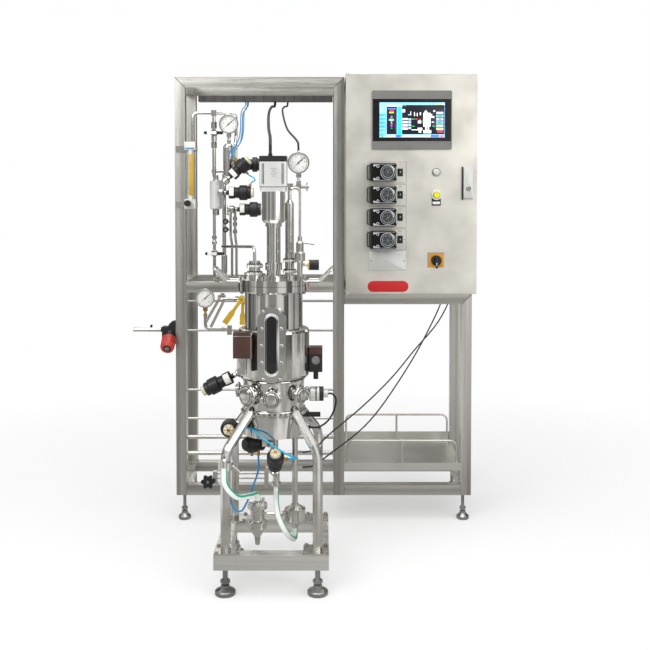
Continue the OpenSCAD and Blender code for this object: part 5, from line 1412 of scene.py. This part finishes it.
    def covers(self) -> None:
        """Coloured covers on the electrical boxes, the motor's foot and the small valve's coil."""
        at = self.stand.at
        make_piece("left_box_cover", [
            front_plate(at(0.300, -0.6251, 0.7575), 0.0562, 0.0790, 0.0005, 0.002),
            plate(at(0.3281, -0.6065, 0.7575), Y_AXIS, Z_AXIS, (0.0370, 0.0790), 0.0005, 0.002, 0.0001),
        ], BROWN)
        make_piece("right_box_top", [
            plate(at(0.5243, -0.492, 0.7331), X_AXIS, Y_AXIS, (0.0424, 0.0424), 0.0008, 0.002),
            front_plate(at(0.5243, -0.5131, 0.7225), 0.0424, 0.021, 0.0006, 0.002),
        ], BROWN)
        screw = at(0.5243, -0.5161, 0.693)
        slot = plate(screw + 0.0012 * FRONT, (1, 0, 1), (-1, 0, 1), (0.020, 0.003), 0.0006)
        make_piece("box_screw", [disc(screw, FRONT, 0.0132, 0.0012), slot], ZINC)
        band = plate(self.on_axis(1.2425), X_AXIS, Y_AXIS, (0.0862, 0.0862), 0.0016, 0.008, 0.00032)
        make_piece("motor_foot_band", band, BROWN)
        coil = at(0.502, -0.513, 0.996)
        profile = [(0.0150, 0.0), (0.0164, 0.001), (0.0164, 0.0320), (0.0140, 0.0326)]
        body = turned(profile, coil, coil + X_AXIS)
        make_piece("valve_coil", [body, ring(coil + 0.024 * X_AXIS, X_AXIS, 0.0160, 0.0012)], BLACK)

    def build(self) -> None:
        """Makes all pieces of the vessel's dress."""
        beads = ((0.0172, 0.0019), (0.0214, 0.0026))
        make_piece("sight_rim", [self.sight_loop(*bead) for bead in beads], SILVER)
        pairs = [self.port(*row) for row in PORTS] + [self.lid_port(*row) for row in LID_PORTS]
        pairs += [self.flange_nut(number) for number in range(self.flange_nuts)]
        bright = self.sight_nuts() + [part for pair in pairs for part in pair[0]]
        hoops = ((0.6350, 0.0024), (0.5400, 0.0026))
        bright += [ring(self.on_axis(z), Z_AXIS, 0.0985, r, 72, 8) for z, r in hoops]
        # Painted shade: dark rings and lines at the seams, gaps and stud ends
        seams = [part for pair in pairs for part in pair[1]]
        seams += [ring(self.on_axis(z), Z_AXIS, r, 0.0006, 72, 6) for z, r in SEAM_SHADES]
        make_piece("vessel_clamps", bright, PIPE)
        make_piece("vessel_seam_shades", seams, INK_AND_SHADE)
        self.covers()


# Weld lines of the frame: middles of the upright ones, then the mitred corners with the way
# that each runs to the right and up
WELDS = (
    (0.0385, 0.873), (0.5875, 0.873), (0.6265, 0.829),
    *[(x, 0.113) for x in (0.0385, 0.5875, 0.6265, 1.0615)],
)
MITRES = ((0.0, 1.650, 1, -1), (0.626, 1.650, -1, -1), (1.100, 0.848, -1, -1))


@dataclass
class StandDress:
    """Weld lines of the frame, lever labels, painted shade in the red knob's holes, and the filter's bowl."""

    stand: Stand
    face_y: float = 0.0001
    tube: float = 0.038

    def welds(self) -> None:
        """Fine dark lines where rails meet posts, on the faces that look to the front."""
        at = self.stand.at
        lines = [front_plate(at(x, self.face_y, z), 0.0011, 0.037, 0.0003, 0.0002) for x, z in WELDS]
        inset, half = 0.0006, 0.0007
        t = np.array([inset, self.tube - inset, self.tube - inset, inset])
        offset = np.array([-half, -half, half, half])
        for x, z, right, up in MITRES:
            places = [at(a, self.face_y, b) for a, b in zip(x + right * (t + offset), z + up * (t - offset))]
            lines.append(flat_shape(np.array(places[::-1] if right * up > 0 else places), 0.0003))
        make_piece("frame_weld_lines", lines, INK_AND_SHADE)

    def levers(self) -> None:
        """White labels on the two black levers."""
        for name in ("upper", "lower"):
            low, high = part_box(f"ball_lever_{name}")
            middle = np.array([(low.x + high.x) / 2 - 0.006, low.y + 0.0029, (low.z + high.z) / 2])
            label = front_plate(middle, 0.034, 0.0118, 0.0036, 0.002)
            make_piece(f"{name}_lever_label", label, WHITE, f"{name}_lever")

    def knob(self) -> None:
        """Two rows of dark discs round the red knob, painted shade for its holes, and its dark end cap."""
        axis = unit((-0.03, -1.0, -0.75))
        seat = self.stand.at(-0.022, -0.015, 0.686)
        holes = []
        for start, level in ((0.0, 0.014), (np.pi / 10, 0.024)):
            for out in spokes(circle(10) + start, *across(axis)):
                holes.append(disc(seat + level * axis + 0.0258 * out, out, 0.0024, 0.0004, 16))
        # Painted shade: dark discs where the knob has holes
        make_piece("red_knob_hole_shades", holes, INK_AND_SHADE, "red_knob")
        cap = [(0.0145, 0.0505), (0.0145, 0.0530), (0.0125, 0.0542)]
        make_piece("red_knob_cap", turned(cap, seat, seat + axis), BLACK, "red_knob")
        make_piece("red_knob_disc", disc(seat + 0.0542 * axis, axis, 0.0085, 0.0006), BEZEL, "red_knob")

    def bowl(self) -> None:
        """Pale ribbed filter bowl: r = radius + wave * cos 24 t, between two bands."""
        radius, wave, ribs, height = 0.0217, 0.0003, 24, 0.0975
        foot = self.stand.at(0.158, -0.060, 1.1675)
        t = circle(3 * ribs)
        spoke = spokes(t, X_AXIS, Y_AXIS) * (radius + wave * np.cos(t * ribs))[:, None]
        skin = Surface.tube_of(np.stack([foot + spoke, foot + spoke + height * Z_AXIS]))
        bands = [ring(foot + h * Z_AXIS, Z_AXIS, 0.0212, 0.0012, 40, 8) for h in (0.0, height)]
        make_piece("filter_bowl", [skin, *bands], SILVER)

    def build(self) -> None:
        """Makes all pieces of the stand's dress."""
        self.welds()
        self.levers()
        self.knob()
        self.bowl()


# ---------- camera, floor and lights ----------

WHITE_LIGHT = (1.0, 1.0, 1.0, 1.0)
PALE_TONE = "#fbfaf7"
# Soft lamps: name, place in the stand's axes, side in metres and power in watts
LAMPS = (
    ("soft_key", (-1.6, -3.2, 3.0), 2.2, 70.0),
    ("soft_fill", (2.8, -2.6, 2.0), 2.0, 30.0),
    ("soft_top", (0.5, -0.6, 3.6), 2.4, 45.0),
)


@dataclass
class Studio:
    """A white studio: floor, soft lamps and a banded surround that only gloss sees."""

    stand: Stand
    lens: float = 0.05239
    sensor: float = 0.036
    pitch: float = 1.9
    eye: tuple[float, float, float] = (0.5465, -3.5, 1.228)
    shift: tuple[float, float] = (0.0034, -0.157)
    ambient: float = 0.62
    floor_half: float = 12.0
    floor_glow: float = 0.44
    floor_grey: float = 0.5
    fade: tuple[float, float] = (1.0, 2.6)
    wall_radius: float = 4.2
    wall_height: float = 5.0
    band_shift: tuple[float, float, float] = (10.79, 29.44, 0.0)

    def camera(self) -> None:
        """Makes the scene's camera at eye height, looking along +Y and a little down."""
        data = bpy.data.cameras.new("studio_camera")
        data.sensor_width, data.lens = self.sensor * 1000, self.lens * 1000
        data.shift_x, data.shift_y = self.shift
        data.clip_end = 60.0
        camera = link(bpy.data.objects.new("studio_camera", data))
        camera.location = self.stand.at(*self.eye)
        camera.rotation_euler = (math.radians(90 - self.pitch), 0.0, 0.0)
        bpy.context.scene.camera = camera

    def seen_directly(self, tree: Tree) -> Socket:
        """1 for rays from the camera, from gloss and through glass; 0 for light on the object."""
        path = add_node(tree, "ShaderNodeLightPath")
        found = path.outputs["Is Camera Ray"]
        for name in ("Is Glossy Ray", "Is Transmission Ray"):
            inputs = {0: found, 1: path.outputs[name]}
            found = add_node(tree, "ShaderNodeMath", inputs, operation="MAXIMUM").outputs[0]
        return found

    def world(self) -> None:
        """White where it is seen, and a soft plain light on the object."""
        world = bpy.data.worlds.new("white_room")
        world.use_nodes = True
        tree = world.node_tree
        tree.nodes.clear()
        inputs = {0: self.seen_directly(tree), 2: self.ambient, 3: 1.0}
        strength = add_node(tree, "ShaderNodeMix", inputs, data_type="FLOAT").outputs[0]
        light = add_node(tree, "ShaderNodeBackground", {"Color": WHITE_LIGHT, "Strength": strength})
        add_node(tree, "ShaderNodeOutputWorld", {"Surface": light.outputs[0]})
        bpy.context.scene.world = world

    def bands(self, tree: Tree, place: Socket) -> Socket:
        """A tone from 0 to 1 in wide upright bands: the product of a wide and a narrow noise.

        Args:
            tree: the material's tree.
            place: the Object coordinates.

        Returns:
            The tone.
        """
        tones = []
        for width, upright, span in ((2.6, 12.0, (0.40, 0.58)), (0.95, 8.0, (0.36, 0.62))):
            found = noise(tree, place, (width, width, upright), 2.0, self.band_shift)
            tones.append(remap(tree, found, span, (0.04, 1.0), smooth=True))
        both = {0: tones[0], 1: tones[1]}
        return add_node(tree, "ShaderNodeMath", both, operation="MULTIPLY").outputs[0]

    def set_up(
        self, name: str, points: list, polygons: list, material: bpy.types.Material
    ) -> bpy.types.Object:
        """Makes a piece of the stage.

        Args:
            name: its name.
            points: its points.
            polygons: its polygons.
            material: its material.

        Returns:
            The object.
        """
        mesh = bpy.data.meshes.new(name)
        mesh.from_pydata(points, [], polygons)
        mesh.materials.append(material)
        return link(bpy.data.objects.new(name, mesh))

    def floor(self, centre: np.ndarray) -> None:
        """A white floor with the object's shadow, plain white further out, and banded tones in gloss."""
        material, tree = new_material("white_studio_floor")
        place = object_place(tree)
        inputs = {0: place, 1: tuple(centre)}
        away = add_node(tree, "ShaderNodeVectorMath", inputs, operation="DISTANCE").outputs["Value"]
        own = emission(tree, WHITE_LIGHT, self.floor_glow)
        grey = (self.floor_grey, self.floor_grey, self.floor_grey, 1.0)
        matt = add_node(tree, "ShaderNodeBsdfDiffuse", {"Color": grey}).outputs[0]
        near = add_node(tree, "ShaderNodeAddShader", {0: own, 1: matt}).outputs[0]
        ground = {0: remap(tree, away, self.fade), 1: near, 2: emission(tree, WHITE_LIGHT)}
        seen = add_node(tree, "ShaderNodeMixShader", ground).outputs[0]
        mirrored = emission(tree, mixed(tree, self.bands(tree, place), "#acaba8", PALE_TONE))
        glossy = add_node(tree, "ShaderNodeLightPath").outputs["Is Glossy Ray"]
        final = add_node(tree, "ShaderNodeMixShader", {0: glossy, 1: seen, 2: mirrored})
        add_node(tree, "ShaderNodeOutputMaterial", {"Surface": final.outputs[0]})
        half = self.floor_half
        corners = ((-half, -half, 0), (half, -half, 0), (half, half, 0), (-half, half, 0))
        points = [tuple(centre + c) for c in corners]
        floor = self.set_up("studio_floor", points, [(0, 1, 2, 3)], material)

    def lamp(self, name: str, place: np.ndarray, aim: np.ndarray, size: float, power: float) -> None:
        """Adds one square soft lamp.

        Args:
            name: its name.
            place: where it is.
            aim: the point that it faces.
            size: its side.
            power: its power in watts.
        """
        data = bpy.data.lights.new(name, "AREA")
        data.size, data.energy = size, power
        lamp = link(bpy.data.objects.new(name, data))
        lamp.location = place
        toward = Vector([float(c) for c in aim - place])
        lamp.rotation_euler = toward.to_track_quat("-Z", "Y").to_euler()

    def surround(self, centre: np.ndarray) -> None:
        """A round wall that only glossy rays see: soft upright bands from white to dark, for the steel."""
        radius = self.wall_radius
        base = centre - 0.4 * Z_AXIS
        wall = turned([(radius, 0.0), (radius, self.wall_height)], base, base + Z_AXIS, 96)
        material, tree = new_material("banded_studio_surround")
        place = object_place(tree)
        depth = add_node(tree, "ShaderNodeSeparateXYZ", {0: place}).outputs["Y"]
        lift = remap(tree, depth, (-radius, -radius * 0.55), (0.34, 0.0), smooth=True)
        lifted = {0: lift, 2: self.bands(tree, place), 3: 0.92}
        tone = add_node(tree, "ShaderNodeMix", lifted, data_type="FLOAT").outputs[0]
        glow = emission(tree, mixed(tree, tone, "#1d1c1b", PALE_TONE))
        add_node(tree, "ShaderNodeOutputMaterial", {"Surface": glow})
        points, polygons = wall.points.tolist(), wall.polygons[:-2]
        wall_object = self.set_up("studio_surround", points, polygons, material)
        for ray in ("camera", "diffuse", "transmission", "shadow", "volume_scatter"):
            setattr(wall_object, f"visible_{ray}", False)

    def build(self) -> None:
        """Makes the camera, world, floor, lamps and surround."""
        bpy.context.scene.view_settings.view_transform = "Standard"
        at = self.stand.at
        self.camera()
        self.world()
        self.floor(at(0.5, -0.2, 0.0))
        for name, place, size, power in LAMPS:
            self.lamp(name, at(*place), at(0.5, -0.1, 0.8), size, power)
        self.surround(at(0.5, -0.3, 0.0))


# ---------- main ----------


def main() -> None:
    """Builds the studio, the cords, the finishes and the detail pieces."""
    logging.basicConfig(level=logging.INFO, format="%(message)s")
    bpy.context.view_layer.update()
    stand = Stand.measured()
    Studio(stand).build()
    for cord in CORDS:
        cord.build(stand)
    dress_solids(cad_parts)
    OperatorPanel(stand).build()
    PumpHeads(stand).build()
    for piece in PIECES:
        piece.build(stand)
    Dial(stand, "first_gauge", 0.206, 1.472, -0.068, -0.060, PIPE).build()
    Dial(stand, "second_gauge", 0.118, 0.840, -0.068, -0.060, BRASS).build()
    Dial(stand, "third_gauge", 0.469, 1.320, -0.475, -0.467, PIPE).build()
    ValveDress(stand).build()
    VesselDress(stand).build()
    StandDress(stand).build()


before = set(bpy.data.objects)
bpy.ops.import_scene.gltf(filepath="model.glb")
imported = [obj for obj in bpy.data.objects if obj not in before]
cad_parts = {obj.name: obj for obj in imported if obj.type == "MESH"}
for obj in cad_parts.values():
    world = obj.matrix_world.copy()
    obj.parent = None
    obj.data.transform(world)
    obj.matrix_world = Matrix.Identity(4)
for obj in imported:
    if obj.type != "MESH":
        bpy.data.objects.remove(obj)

if __name__ == "__main__":
    main()
